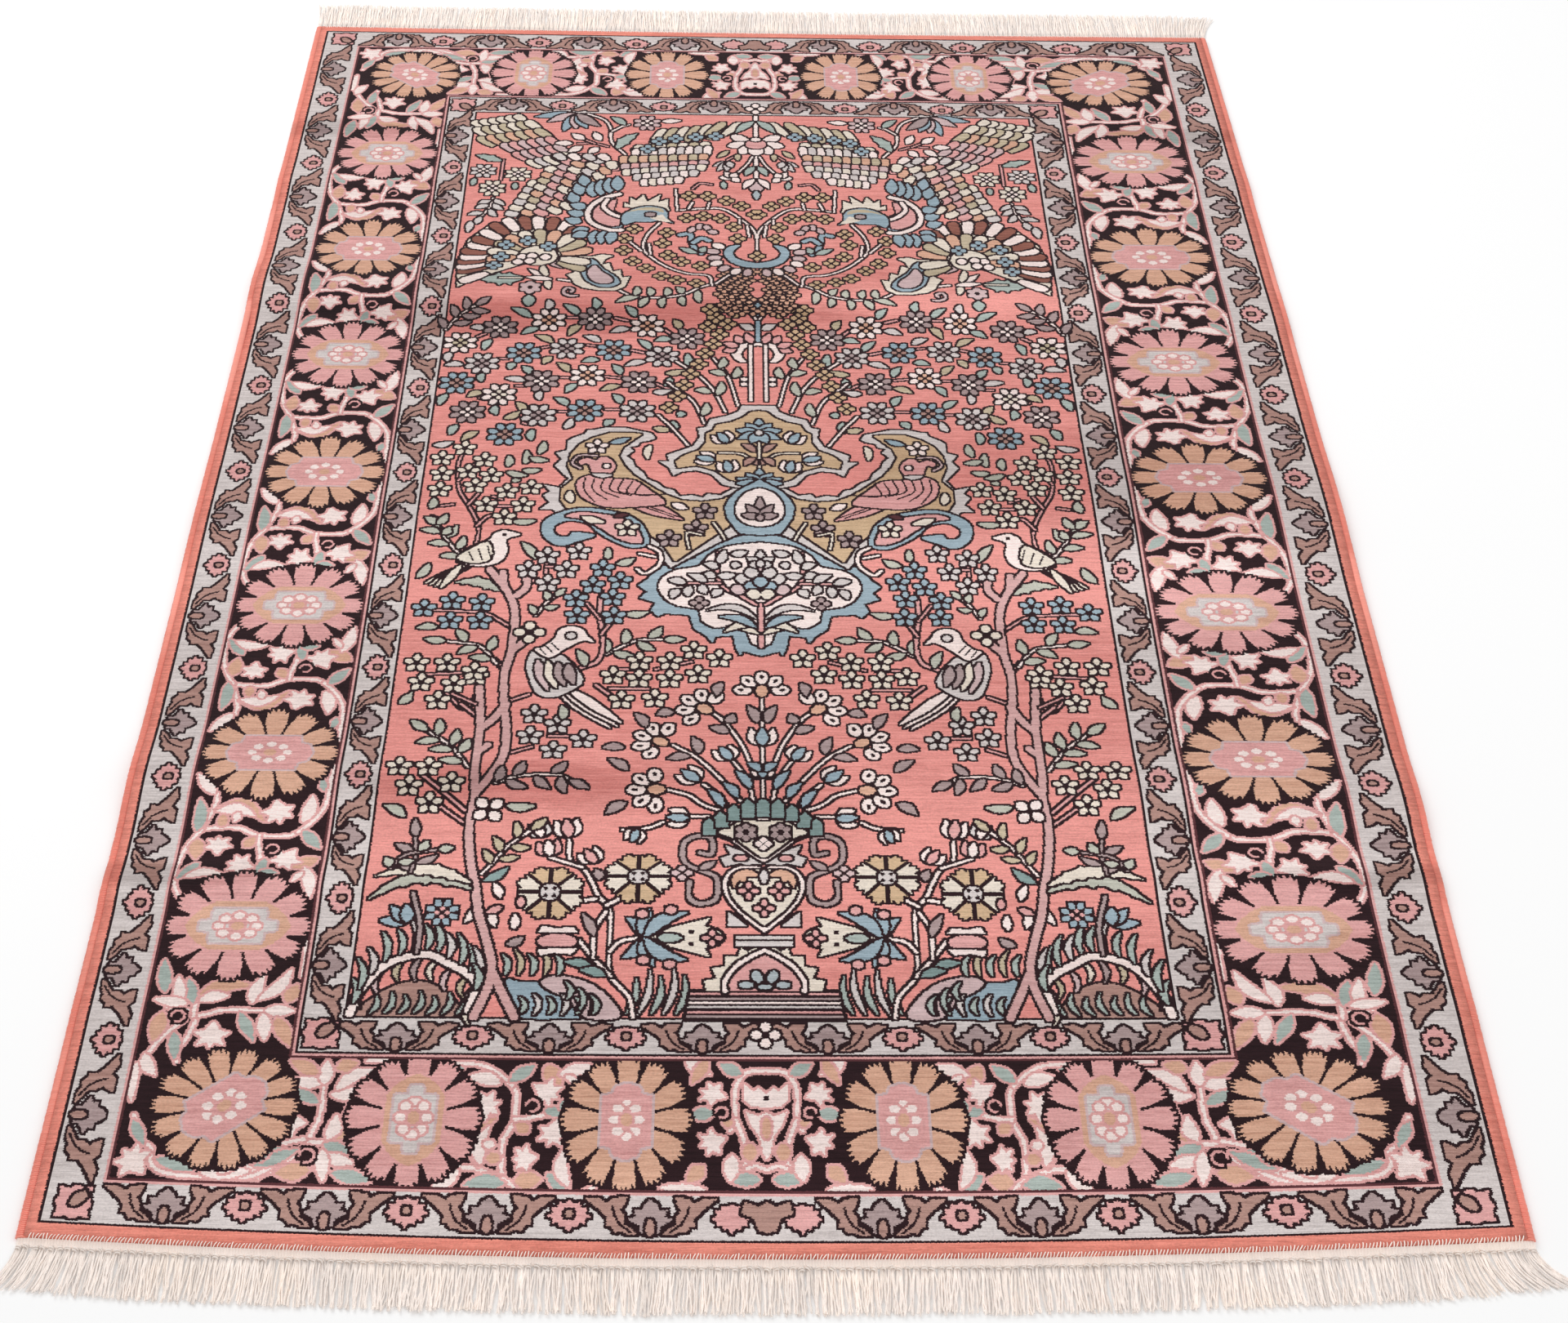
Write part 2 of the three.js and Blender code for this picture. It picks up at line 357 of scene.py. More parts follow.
def draw_guard(strip, first, repeat, count):
    """Palmettes on the outer line and flowers on the inner one by turns, with leaves between them."""
    for k in range(count):
        run = first + k * repeat
        for way in (1, -1):
            guard_leaf(strip, run, way)
        strip.fill(run, PALMETTE, "mauve")
        strip.fill(run, oval(3.6j, 1.5, 3.2), "brown")
    for k in range(count - 1):
        run = first + (k + 0.5) * repeat
        strip.fill(run, 1.06 * GUARD_FLOWER, "pink")
        strip.fill(run, oval(8.8j, 1.3, 1.5), "brown")


def guard_corner(corner, way):
    """A pink square flower with an oval bud, where two strips of a guard meet."""
    sawn = [-6.4-6j, -3-5.6j, -1-6.8j, 2-5.6j, 6-6.2j, 5.4-2j, 6.6, 5.4+3j, 6+6j, 2+5.4j, 6.8j, -3+5.6j,
        -6+6j, -5.4+2j, -6.8-1j, -5.6-3j]
    fill([corner + complex(p.real, way * p.imag) for p in sawn], "pink")
    spot(corner - 1.6 + 1.4j * way, 3.6, 2.0, "brown", -45 * way)


def draw_guards():
    """Both guards, on the left side and both ends."""
    guards = [dict(across=250.8, along=8, rise=0.94, end_first=40.4, end_repeat=56.2, end_count=4,
        side_first=49.5, side_count=12, corner=242+15j), dict(across=170.5, along=79.5, rise=0.82,
        end_first=23.3, end_repeat=56.2, end_count=3, side_first=119.5, side_count=10, corner=163.5+87j)]
    for g in guards:
        for far, inward in ((False, 1), (True, -1)):
            along = ROWS - g["along"] if far else g["along"]
            strip = Strip(1j * along, 1, 1j * inward, g["end_repeat"] / 2 / LEAF_STEP, g["rise"])
            draw_guard(strip, g["end_first"], g["end_repeat"], g["end_count"])
            if g["end_first"] > 30:
                strip.fill(g["end_first"] - g["end_repeat"] / 2, GUARD_FLOWER, "pink")
                strip.fill(0, both_sides([2j, 3+3j, 5+8j, 9+9.6j, 8+14j, 3+12j, 14j]), "brown")
            else:
                blossom(1j * (along + 8 * inward), 4, 3.4, 2.0, 1.8, "ivory", 0)
            guard_corner(np.conj(g["corner"]) + 1j * ROWS if far else g["corner"], inward)
        repeat = (ROWS - 2 * g["side_first"]) / (g["side_count"] - 1)
        side = Strip(g["across"] + 0j, 1j, -1, repeat / 2 / LEAF_STEP, g["rise"])
        draw_guard(side, g["side_first"], repeat, g["side_count"])


PETAL_TEETH = [(-0.86, 0.92), (-0.72, 1.03), (-0.5, 0.93), (-0.3, 1.04), (-0.15, 0.96), (0, 1.06),
    (0.15, 0.96), (0.3, 1.04), (0.5, 0.93), (0.72, 1.03), (0.86, 0.92)]


def rosette(at, reach, kind, angle, petals=12):
    """A rosette with sawn petals, dark spokes that widen outward and a cartouche in its heart."""
    outer, ring = {"pink": ("rose", "tan"), "tan": ("tan", "rose")}[kind]

    def place(share, turn):
        point = share * np.exp(2j * math.pi * turn / petals)
        return at + point.real * reach.real + 1j * point.imag * reach.imag

    points = [place(share, k + 0.5 * side) for k in range(petals) for side, share in PETAL_TEETH]
    fill(points, outer, "black")
    for k in range(petals):
        spoke = [place(s, k + 0.5 + w) for s, w in ((0.46, 0), (0.75, 0.08), (1.05, 0.18), (1.05, -0.18),
            (0.75, -0.08))]
        fill(spoke, "black", None)
        stroke([place(0.47, k + 0.5), place(0.9, k + 0.5)], 1.2, "black", None)
    spin = np.exp(1j * math.radians(angle)) * min(reach.real, reach.imag) / 26.5
    if kind == "pink":
        halo = mirrored([-21, -19+4.5j, -15+9j, -10+12j, 10+12j, 15+9j, 19+4.5j, 21])
        body = mirrored([-15.5, -15+2.4j, -10.6+3j, -10.4+8.6j, 10.4+8.6j, 10.6+3j, 15+2.4j, 15.5])
        fill(at + halo * spin, ring, "rose")
        fill(at + body * spin, "grey", "lilac")
    else:
        body = mirrored([-18, -16+5j, -12.5+6.4j, -11.5+10.6j, 11.5+10.6j, 12.5+6.4j, 16+5j, 18])
        fill(at + body * spin, ring, "lilac")
        fill(at + body * 0.84 * spin, "pink", None)
        fill(at + body * 0.72 * spin, ring, None)
    for k in range(8):
        dot = np.exp(2j * math.pi * k / 8)
        spot(at + (7.4 * dot.real + 5.2j * dot.imag) * spin, 2.0, 1.7, "ivory", line="pink")
    spot(at, 2.8, 2.2, "tan", angle, "pink")


MAPLE = mirrored([-5, -2.5+1.2j, -3.6+4.8j, -0.6+3.2j, 1.6+6j, 2.4+2.6j, 6.4])

# What fills the gap between two rosettes, in steps from the gap's middle: outward, and along the band
# as the imaginary part. A flipped copy fills the next gap, and the corners have a gap of their own.
# A leaf is its base, tip, width, bend and yarn, a maple leaf its place, size and angle, and a curl its
# place and radius.
GAP = dict(
    stems=[
        [22-4j, 16-5j, 7-5j, 3-3j, -2-1j, -13-1j, -17-3j],
        [-2-1j, -2+3j, -3+7j, -4+12j],
        [22-4j, 20-10j, 18-17j, 18-22j],
        [-17-3j, -21-7j, -25-13j, -27-20j, -27.5-38j],
        [22-4j, 25+1j, 28+9j, 29+18j, 28+27j, 25+33j],
    ],
    leaves=[
        (20+14j, 28+24j, 4.5, 0, "sage"),
        (25+23j, 9+21j, 4.5, 2.4, "ivory"),
        (-6+11j, -4+22j, 4, 0, "sage"),
        (-5+19j, -12+20j, 3.5, 0, "sage"),
        (-27+11j, -16+17j, 6.5, 0, "tan"),
        (-22+16j, -26+33j, 5, 1, "ivory"),
        (-22+19j, -18+25j, 2.5, 0, "ivory"),
        (23+1j, 22+12j, 6.5, 0, "tan"),
        (3+5.5j, -0.5j, 4.5, 0, "tan"),
        (-19-4j, -27+6j, 5, 0, "sage"),
        (14-5.5j, 14-12j, 4.5, 0, "tan"),
        (18-14j, -3-8j, 6.5, 5.5, "tan"),
        (17-13.5j, 1-11j, 5, 2.4, "ivory"),
        (8-13j, 9-8j, 3, 0, "ivory"),
        (-18-8j, -21-22j, 5.5, -1, "ivory"),
        (-25-24j, -23.5-31j, 3, 0, "sage"),
        (24-3j, 25-20j, 5.5, -1, "sage"),
        (19-22j, 28-33j, 5, 0, "ivory"),
    ],
    maples=[(4+15j, 1, 165), (-14+12j, 1.1, 240), (14+4j, 0.9, 95), (-8-13j, 1.1, -75)],
    curls=[(-8+6j, 2.4)],
)
CORNER_GAP = dict(
    stems=[
        [21+1j, 13, 10-3j],
        [10-3j, 5-2j, -1, -17],
        [10-3j, 11+7j, 15+11j],
        [9-5j, 11-13j, 14-19j, 13-24j],
        [13-5j, 19-11j, 24-19j, 27-30j, 27-40j],
        [-28+17j, -28+28j, -27+35j],
    ],
    leaves=[
        (11+4j, -11+12j, 6.5, -4, "tan"),
        (9+4.5j, -2+7j, 5, -1, "ivory"),
        (11+3j, 15+16j, 4.5, 0, "sage"),
        (23+8j, 26+25j, 5, 0, "sage"),
        (16+3j, 19+17j, 4.5, 0, "ivory"),
        (13+3j, 27+5j, 4.5, 0, "ivory"),
        (22-1j, 24-15j, 6.5, 0, "tan"),
        (-7-1j, -14-14j, 4.5, 0, "sage"),
        (-16-1j, -18-14j, 5, 0, "ivory"),
        (-16, -28, 5, 0, "ivory"),
        (-21-3j, -28-16j, 5.5, 0, "tan"),
        (-11+3j, -14+17j, 5, -1, "ivory"),
        (-13+5j, -24+21j, 5, 2, "ivory"),
        (-24+4j, -27+13j, 5.5, 0, "tan"),
        (16-10j, 14-23j, 4.5, 0, "sage"),
        (26-20j, 20-30j, 5, 1, "ivory"),
        (28-24j, 27-42j, 4.5, 1, "ivory"),
    ],
    maples=[(2-12j, 1.1, 90)],
    curls=[(16-3j, 2.6)],
)
# The same where the vine turns a corner, in steps from the middle line and from the rug's end.
CORNER_TURN = dict(
    stems=[[227+50j, 222+40j, 218+37j, 217+31j, 211+27.5j, 198+26.5j, 181+27j, 171+33j]],
    leaves=[
        (227+48j, 221+38j, 4, 0, "sage"),
        (216+33j, 201+28.5j, 4, 0, "sage"),
        (199+28j, 181+29j, 5.5, 0, "ivory"),
        (192+28j, 183+36j, 4, 0, "ivory"),
        (180+31j, 165+38j, 4.5, 0, "sage"),
        (178+33j, 175+43j, 3.5, 0, "sage"),
    ],
    maples=[(224+32j, 1.15, -135)],
    curls=[],
)
# The same for the arch in the middle of each end, in steps from the middle of the band.
ARCH = dict(
    vine=1.4,
    stems=[[21j, 7+20j, 10.5+15j, 11.5+8j, 11+1j, 13-4j], [11, 8-8j, 7.5-16j, 9-22j]],
    leaves=[
        (2-22j, 14-22j, 4.6, 0, "sage"),
        (9+19j, 17+24j, 5, 0, "sage"),
        (12-1j, 16-1j, 3, 0, "tan"),
        (27+2j, 18+3j, 5, 0, "sage"),
        (29+25j, 20+19j, 5.4, 0, "ivory"),
        (21+26j, 27+15j, 4.4, 0, "tan"),
        (12-13j, 13-23j, 5.4, 0, "ivory"),
        (22-17j, 28-23j, 5.4, 0, "tan"),
        (21-26j, 38-25j, 3.6, 0, "ivory"),
    ],
    maples=[(19.5+11j, 0.86, 200), (19.5-8.5j, 0.86, 160)],
    curls=[(16+3j, 2.2)],
)


def fill_gap(gap, at, outward, along):
    """A vine with its leaves and curls. Outward and along are the directions of the gap's own axes."""

    def place(point):
        return at + point.real * outward + point.imag * along

    facing = 1 if (along * np.conj(outward)).imag > 0 else -1
    for vine in gap["stems"]:
        stroke(curve([place(p) for p in vine]), gap.get("vine", 1.3), "ivory", "rose")
    for base, tip, width, bend, yarn in gap["leaves"]:
        leaf(place(base), place(tip), width, facing * bend, yarn, line="rose")
    for heart, size, angle in gap["maples"]:
        shape = turned(MAPLE * size, angle)
        fill(place(heart) + shape.real * outward + shape.imag * along, "ivory", "rose")
    for heart, radius in gap["curls"]:
        stroke(oval(place(heart), radius, radius)[:12], 1.0, "rose", "black")


def draw_main_border():
    """Rosettes by turns pink and tan, with a leafy vine between them, kept inside their band."""
    before = KNOTS.copy()
    side, spacing, middle = 202.0, 92.5, ROWS / 2
    for k in range(-3, 3):
        flip = -1 if k % 2 else 1
        fill_gap(GAP, complex(side, middle + (k + 0.5) * spacing), 1, 1j * flip)
    for end, inward in ((51, 1), (ROWS - 51, -1)):
        fill_gap(CORNER_GAP, complex(side, end + 46 * inward), 1, 1j * inward)
        fill_gap(CORNER_GAP, complex(159.5, end - inward), -0.9j * inward, -0.86)
        fill_gap(GAP, complex(89, end - 2 * inward), -0.93j * inward, -0.86)
        fill_gap(CORNER_TURN, 1j * (end - 51 * inward), 1, 1j * inward)
        draw_arch(end, inward)
    for k in range(-3, 4):
        rosette(complex(side, middle + k * spacing), 27.5+26j, "pink" if k % 2 else "tan", 0)
    for end, inward in ((51, 1), (ROWS - 51, -1)):
        rosette(complex(126, end), 23.5+26j, "pink", 90)
        rosette(complex(50, end), 22.5+26j, "tan", 90)
        rosette(complex(194.5, end + inward * 3.5), 26+24.5j, "tan", -38 * inward, 14)
    outer, inner = MAIN_OUTER, MAIN_INNER
    band = np.zeros(KNOTS.shape, bool)
    for edge, kept in ((outer, True), (inner, False)):
        inset = edge["along"] * FINE
        band[inset : ROWS * FINE - inset, : edge["across"] * FINE] = kept
    KNOTS[~band] = before[~band]


def draw_arch(end, inward):
    """The paired vine that makes an arch over a small palmette in the middle of each end."""
    at, up = 1j * end, 1j * inward
    fill_gap(ARCH, at, 1, up)
    for half in ([11, 13.5+3j, 11.5+4.5j, 15+8j, 8+8j, 5.5+5j, 5], [3, 1.5+3j, 3.5+7.5j, -2+5.5j, -6+2.6j,
            -12+1.4j, -15]):
        fill(at + up * mirrored(half), "ivory", "rose")
    spot(at + 9 * up, 1.2, 1.0, "black", line=None)
    spot(at - 3 * up, 1.6, 4.0, "tan", line="rose")
    spot(at + 6 - 12 * up, 2.4, 3.0, "tan", line="rose")
    stroke([at - 18.5 * up, at + 4 - 17 * up, at + 7 - 18 * up], 1.2, "ivory", "rose")


def draw_border():
    for band in BANDS:
        inset = band["along"] * FINE
        KNOTS[inset : ROWS * FINE - inset, : band["across"] * FINE] = YARN_NUMBER[band["yarn"]]
    draw_main_border()
    draw_guards()


# The field's flowers, leaves and figures, each drawn where it stands on the left half.


def shrunk(outline, centre, share):
    return centre + (np.asarray(outline, complex) - centre) * share


def star_flower(at, colour):
    """Five small petals round a black heart."""
    blossom(at, 5, 3.5, 1.9, 1.35, colour)


def cross_flower(at, colour="gold", size=1.0):
    """Four petals round a black heart."""
    spot(at, 2.6 * size, 2.6 * size, "black")
    blossom(at, 4, 2.6 * size, 1.5 * size, 1.3 * size, colour, 90, None)


def round_flower(at, outer, inner, size=1.0):
    """Eight round petals about a checkered heart."""
    spot(at, 5 * size, 5 * size, "black", line=None)
    blossom(at, 8, 6.2 * size, 2.2 * size, 1.65 * size, outer, 22.5, None)
    blossom(at, 4, 2.4 * size, 1.3 * size, 1.1 * size, inner, 90, None, None)


def daisy(at, radius):
    """Eight wedge petals with sawn ends, by turns sand and gold, round a checkered heart."""
    half = [0.2, 0.5+0.12j, 0.98+0.33j, 0.84+0.18j, 1.07+0.09j, 1.0]
    petals = [at + radius * turned(mirrored(half), 22.5 + 45 * k) for k in range(8)]
    fill(petals, ["gold" if k % 4 in (1, 2) else "sand" for k in range(8)])
    spot(at, 3.6, 3.6, "grey")
    blossom(at, 4, 2.3, 0.9, 0.9, "black", 45, None, None)


def fan_flower(heart, facing):
    """Five ringed ivory petals spread from a tan calyx."""
    for k in range(-2, 3):
        way = facing + 43 * k
        middle = heart + turned(8.2, way)
        spot(middle, 3.7, 2.7, "ivory", way)
        spot(middle + turned(0.6, way), 1.5, 0.9, "black", way, None)
    spot(heart, 3.4, 2.4, "tan", facing)


def tulip(base, facing, size, petal="ivory", middle="blue"):
    """A half-open flower of three pointed petals."""
    for way in (-1, 1):
        tip = base + turned(size * complex(9, 4.2 * way), facing)
        leaf(base, tip, 4.6 * size, 1.0 * way, petal)
    leaf(base, base + turned(9.5 * size, facing), 4.2 * size, 0, middle)


def spray(vine, places, length, width, colour, stem_colour="ivory"):
    """A stem with leaves by turns on its left and right, and one at its end."""
    path = curve(vine)
    stroke(path, 0.9, stem_colour)
    for k, share in enumerate(places):
        at = path[int(share * (len(path) - 2))]
        ahead = path[int(share * (len(path) - 2)) + 1] - at
        way = ahead / max(abs(ahead), 1e-6) * np.exp(1j * math.radians(52 if k % 2 else -52))
        leaf(at + 1.2 * way, at + (length + 1.2) * way, width, 0.6, colour)
    way = path[-1] - path[-2]
    leaf(path[-1], path[-1] + length * way / max(abs(way), 1e-6), width, 0, colour)


def stems(paths, width, colour="ivory"):
    for path in paths:
        stem(path, width, colour)


def leaves(colour, width, pairs, bend=0.8):
    for base, tip in pairs:
        leaf(base, tip, width, bend, colour)


def blades(places, reach, width, colours):
    """A row of grass blades, each from its own place."""
    for k, at in enumerate(places):
        colour = colours[k % len(colours)]
        leaf(at, at + reach * (1.3 if k % 2 else 1.1), width - 0.1, 2.0, colour)


def draw_vase():
    """The footed vase with its two scroll handles."""
    fill([30+94j, 28+108j, -1+108j, -1+94j], "black")
    for k, colour in enumerate(("mauve", "pink", "grey", "ivory", "mauve", "pink")):
        along = 95.4 + 2.2 * k
        stroke([-1+1j * along, 29.0 - 0.25 * k + 1j * along], 1.0, colour, None)
    foot = curve([15+108j, 15+113j, 11+120j, 5+125j, 128j])
    flames = [127j, 3+131j, 6+127j, 9+129j, 10+125j, 15+125j, 15+120j, 20+119j, 18+114j, 23+113j, 22+108j,
        14+108j, -1+108j, -1+127j]
    fill(flames, "sand")
    fill(np.append(foot, [-1+128j, -1+108j]), "pink")
    stroke(foot, 1.6, "ivory")
    for at, long, wide, angle in ((3+115j, 3.0, 1.9, 70), (7+111j, 2.6, 1.6, 0), (1+110j, 1.6, 1.2, 0)):
        spot(at, long, wide, "slate", angle)
    fill([11+130j, 11+135j, -1+135j, -1+130j], "grey")
    stroke([11+133j, -1+133j], 0.8, "black", None)
    fill([14+147j, 14+140j, 7+140j, 10+143j], "grey")
    heart = curve([137j, 8+145j, 14+153j, 16+160j, 14+166j, 9+170j, 3+170j, 168j])
    fill(np.append(heart, [-1+168j, -1+137j]), "ivory")
    fill(shrunk(np.append(heart, [-1+168j, -1+137j]), 157j, 0.84), "sand")
    lobe = [12+158j, 12+165j, 7+168j, 3+166j, 3+164j, 7+164j, 7+161j, 10+162j]
    fill(curve(lobe, True, 2), "tan")
    spot(164j, 1.4, 3.6, "grey")
    cross_flower(6+157j, "pink", 0.95)
    cross_flower(149j, "pink", 0.95)
    bow = [-1+172j, 7+171j, 9+172j, 15+170j, 17+175j, 13+177j, 15+182j, 9+179j, 5+176j, -1+174j]
    fill(bow, "grey")
    spot(9+175j, 2.5, 1.6, "pink")
    mouth = curve([1+173j, 7+179j, 13+185j, 21+189j, 16+192j, 10+196j, 196j])
    mouth = np.append(mouth, [-1+196j, -1+173j])
    fill(mouth, "ivory")
    fill(shrunk(mouth, 6+188j, 0.83) - 0.8, "sand")
    blossom(7+189j, 6, 2.9, 1.5, 1.4, "mauve", 90, "maroon")
    blossom(183j, 4, 2.0, 1.4, 1.3, "ivory", 90, None)
    scroll = curve([25+178j, 21+177j, 20+181j, 21+186j, 26+187j, 31+184j, 32+177j, 30+171j, 24+167j,
        19+164j, 18+159j, 19+153j, 25+151j, 29+154j, 29+161j])
    stroke(scroll, 1.7, "mauve")
    leaf(25+168j, 19+173j, 3.4, 0, "mauve")
    cross_flower(32+166j, "lilac", 1.0)
    for middle, low, high in ((21.4, 187.4, 196), (16.6, 191.6, 199.4), (11.4, 195, 203),
            (5.8, 196.6, 206), (0.0, 197, 206.4)):
        tooth = [2.5, 2.7+6j, 0.6+8.8j, -2.3+6j, -2.5]
        stretch = (high - low) / 8.8
        fill([complex(middle + z.real, low + z.imag * stretch) for z in tooth], "teal")


BOUQUET_STEMS = [
    [205j, 268j],
    [3+218j, 8+237j, 15+251j, 21+258j],
    [4+205j, 6+216j, 12+228j],
    [9+205j, 17+217j, 27+230j, 37+238j],
    [15+203j, 18+208j, 24+214j],
    [17+200j, 24+203j, 30+208j, 39+211j],
    [22+197j, 30+197j],
    [40+194j, 46+191j, 56+190j],
]


def draw_bouquet():
    """What stands in the vase."""
    stems(BOUQUET_STEMS, 1.5)
    for heart, facing in ((271j, 90), (24+260j, 38), (42+240j, 25), (43+211j, -2)):
        fan_flower(heart, facing)
    for base, facing, size in ((13+229j, 62, 0.95), (26+216j, 42, 1.0), (30+196j, 5, 0.9),
            (50+190j, -70, 0.7), (238j, 90, 1.15), (218j, 90, 0.8)):
        tulip(base, facing, size)
    leaves("mauve", 4.2, [(15+252j, 12+257j), (14+246j, 22+249j), (26+233j, 29+243j), (30+231j, 39+229j),
        (48+249j, 53+257j), (57+236j, 66+236j), (55+222j, 63+229j), (55+204j, 63+198j), (37+258j, 44+256j),
        (2+252j, 6+262j), (17+276j, 19+268j)])
    leaves("blue", 3.6, [(5+212j, 11+222j), (10+207j, 16+215j), (16+202j, 22+211j), (1+222j, 6+227j)])


# The shrub with the blue palmette, the tree that stands beside it, and what grows at their feet.
SHRUB_STEMS = [
    [49+95j, 51+105j, 58+115j, 59+126j, 59+140j, 60+149j, 64+154j, 67+161j,
     71+169j, 76+173j, 77+186j],
    [58+115j, 65+124j, 71+133j],
    [65+124j, 65+138j, 61+147j],
    [59+127j, 55+132j, 48+134j],
    [65+153j, 71+152j],
    [61+150j, 56+153j],
    [71+169j, 84+175j],
]
TREE_TRUNK = [
    [108+95j, 104+108j, 103+120j, 107+136j, 110+146j, 112+158j, 115+172j,
     117+190j, 116+207j, 117+222j, 117+248j, 119+272j],
    [93+95j, 98+106j, 103+118j],
    [116+208j, 110+219j, 106+231j, 106+247j, 108+262j, 109+281j, 107+296j,
     107+319j, 111+333j, 120+348j],
    [117+247j, 112+253j, 107+262j],
    [117+232j, 113+237j],
    [113+336j, 114+346j],
    [107+331j, 103+337j, 104+345j],
    [107+295j, 102+301j],
]
TREE_TWIGS = [[119+271j, 124+259j, 133+269j], [119+255j, 126+262j], [118+192j, 129+201j],
    [119+199j, 128+208j, 139+219j], [106+231j, 95+236j], [108+310j, 118+318j, 124+320j],
    [124+320j, 142+321j], [109+282j, 114+290j], [95+346j, 95+352j], [95+350j, 88+350j],
    [104+337j, 99+342j], [131+352j, 134+366j], [108+263j, 98+268j]]


def draw_ground():
    """The mound under its arch, the water, the rock and the blades of grass."""
    mound = curve([153+95j, 146+104j, 138+110j, 130+112j, 122+109j, 116+103j, 111+95j])
    fill(mound, "brown")
    blades([147 - 5.4 * k + 96j for k in range(7)], -1.5+8.5j, 1.9, ("sage",))
    arch = curve([154+96j, 151+108j, 144+119j, 135+124j, 127+125j, 120+121j, 112+116j, 108+110j, 110+98j])
    blades(arch[6::4] - 2j, 0.6-9j, 1.9, ("sand", "lilac", "olive", "mauve"))
    stroke(arch, 3.0, "ivory")
    blades(arch[1:-3:3] + 2j, 1.6+12j, 2.4, ("sage", "sage", "grey"))
    water = [97+113j, 92+112j, 86+112j, 80+109j, 75+105j, 70+99j, 66+95j, 92+95j, 95+104j]
    blob(water, "blue")
    rock = [84+112j, 79+115j, 72+114j, 65+111j, 58+104j, 54+95j, 67+95j, 73+104j, 79+107j]
    blob(rock, "lilac")
    blades([91 - 5.2 * k + 96j for k in range(6)], 0.6+8j, 1.9, ("sage", "grey"))
    blades([74+103j, 69+98j, 64+96j], 1+9j, 1.8, ("sage",))
    blades([98 - 5 * k + 115j for k in range(5)], 1.5+10j, 2.1, ("sage", "olive"))
    blades([52 - 4.6 * k + 96j for k in range(5)], -3+18j, 2.2, ("sage", "grey"))


def draw_shrubs():
    """The white shrub, its daisies and the palmette."""
    stems(SHRUB_STEMS, 1.8)
    for at in (83+156j, 49+164j):
        daisy(at, 12.4)
    heart = 46+134j
    for tip, bend in ((53+144j, 2), (44+149j, -1), (29+147j, -3), (54+124j, -2), (42+120j, 1),
            (29+123j, 3)):
        leaf(heart, tip, 5.4, bend, "blue")
    for bud in (47+146j, 36+148j, 46+123j, 36+121j):
        spot(bud, 2.0, 1.8, "pink")
    cup = [43+134j, 36+139j, 30+141j, 21+144j, 23+140j, 18+138j, 15+134j]
    fill(cup + [complex(z.real, 268.8 - z.imag) for z in cup[::-1]], "sand")
    leaf(41+134j, 31+134j, 4.4, 0, "sage")
    for dot in (28+137j, 28+131j):
        spot(dot, 1.2, 1.2, "black", line=None)
    cross_flower(20+134j, "pink", 0.95)
    spot(79+132j, 7.4, 3.6, "pink")
    for way in (1, -1):
        flap = [86.4+4.2j * way, 85+7.4j * way, 80+6j * way, 73.4+6.8j * way, 71.4+4j * way]
        fill([z.real + 1j * (z.imag + 132.4) for z in flap], "ivory")
    leaves("teal", 4.0, [(109+161j, 100+169j), (65+119j, 76+122j), (60+115j, 70+118j),
        (118+196j, 117+196j)], 1.0)
    leaves("mauve", 3.6, [(98+130j, 92+134j), (65+135j, 70+146j), (64+162j, 66+168j)], 0.5)
    leaves("ivory", 3.4, [(96+138j, 96+146j), (102+153j, 105+160j), (109+149j, 115+141j),
        (105+147j, 103+139j)], 0.4)
    leaves("pink", 3.0, [(101+149j, 107+146j), (94+149j, 94+154j)], 0)
    tulip(84+176j, 80, 0.9, "pink", "ivory")
    tulip(66+172j, 60, 0.9, "ivory", "pink")
    tulip(77+186j, 80, 1.0, "ivory", "pink")
    tulip(88+186j, 75, 0.8, "grey", "ivory")
    spray([110+165j, 106+172j, 101+181j, 92+190j], (0.3, 0.45, 0.6, 0.75, 0.9), 8, 3.2, "olive")


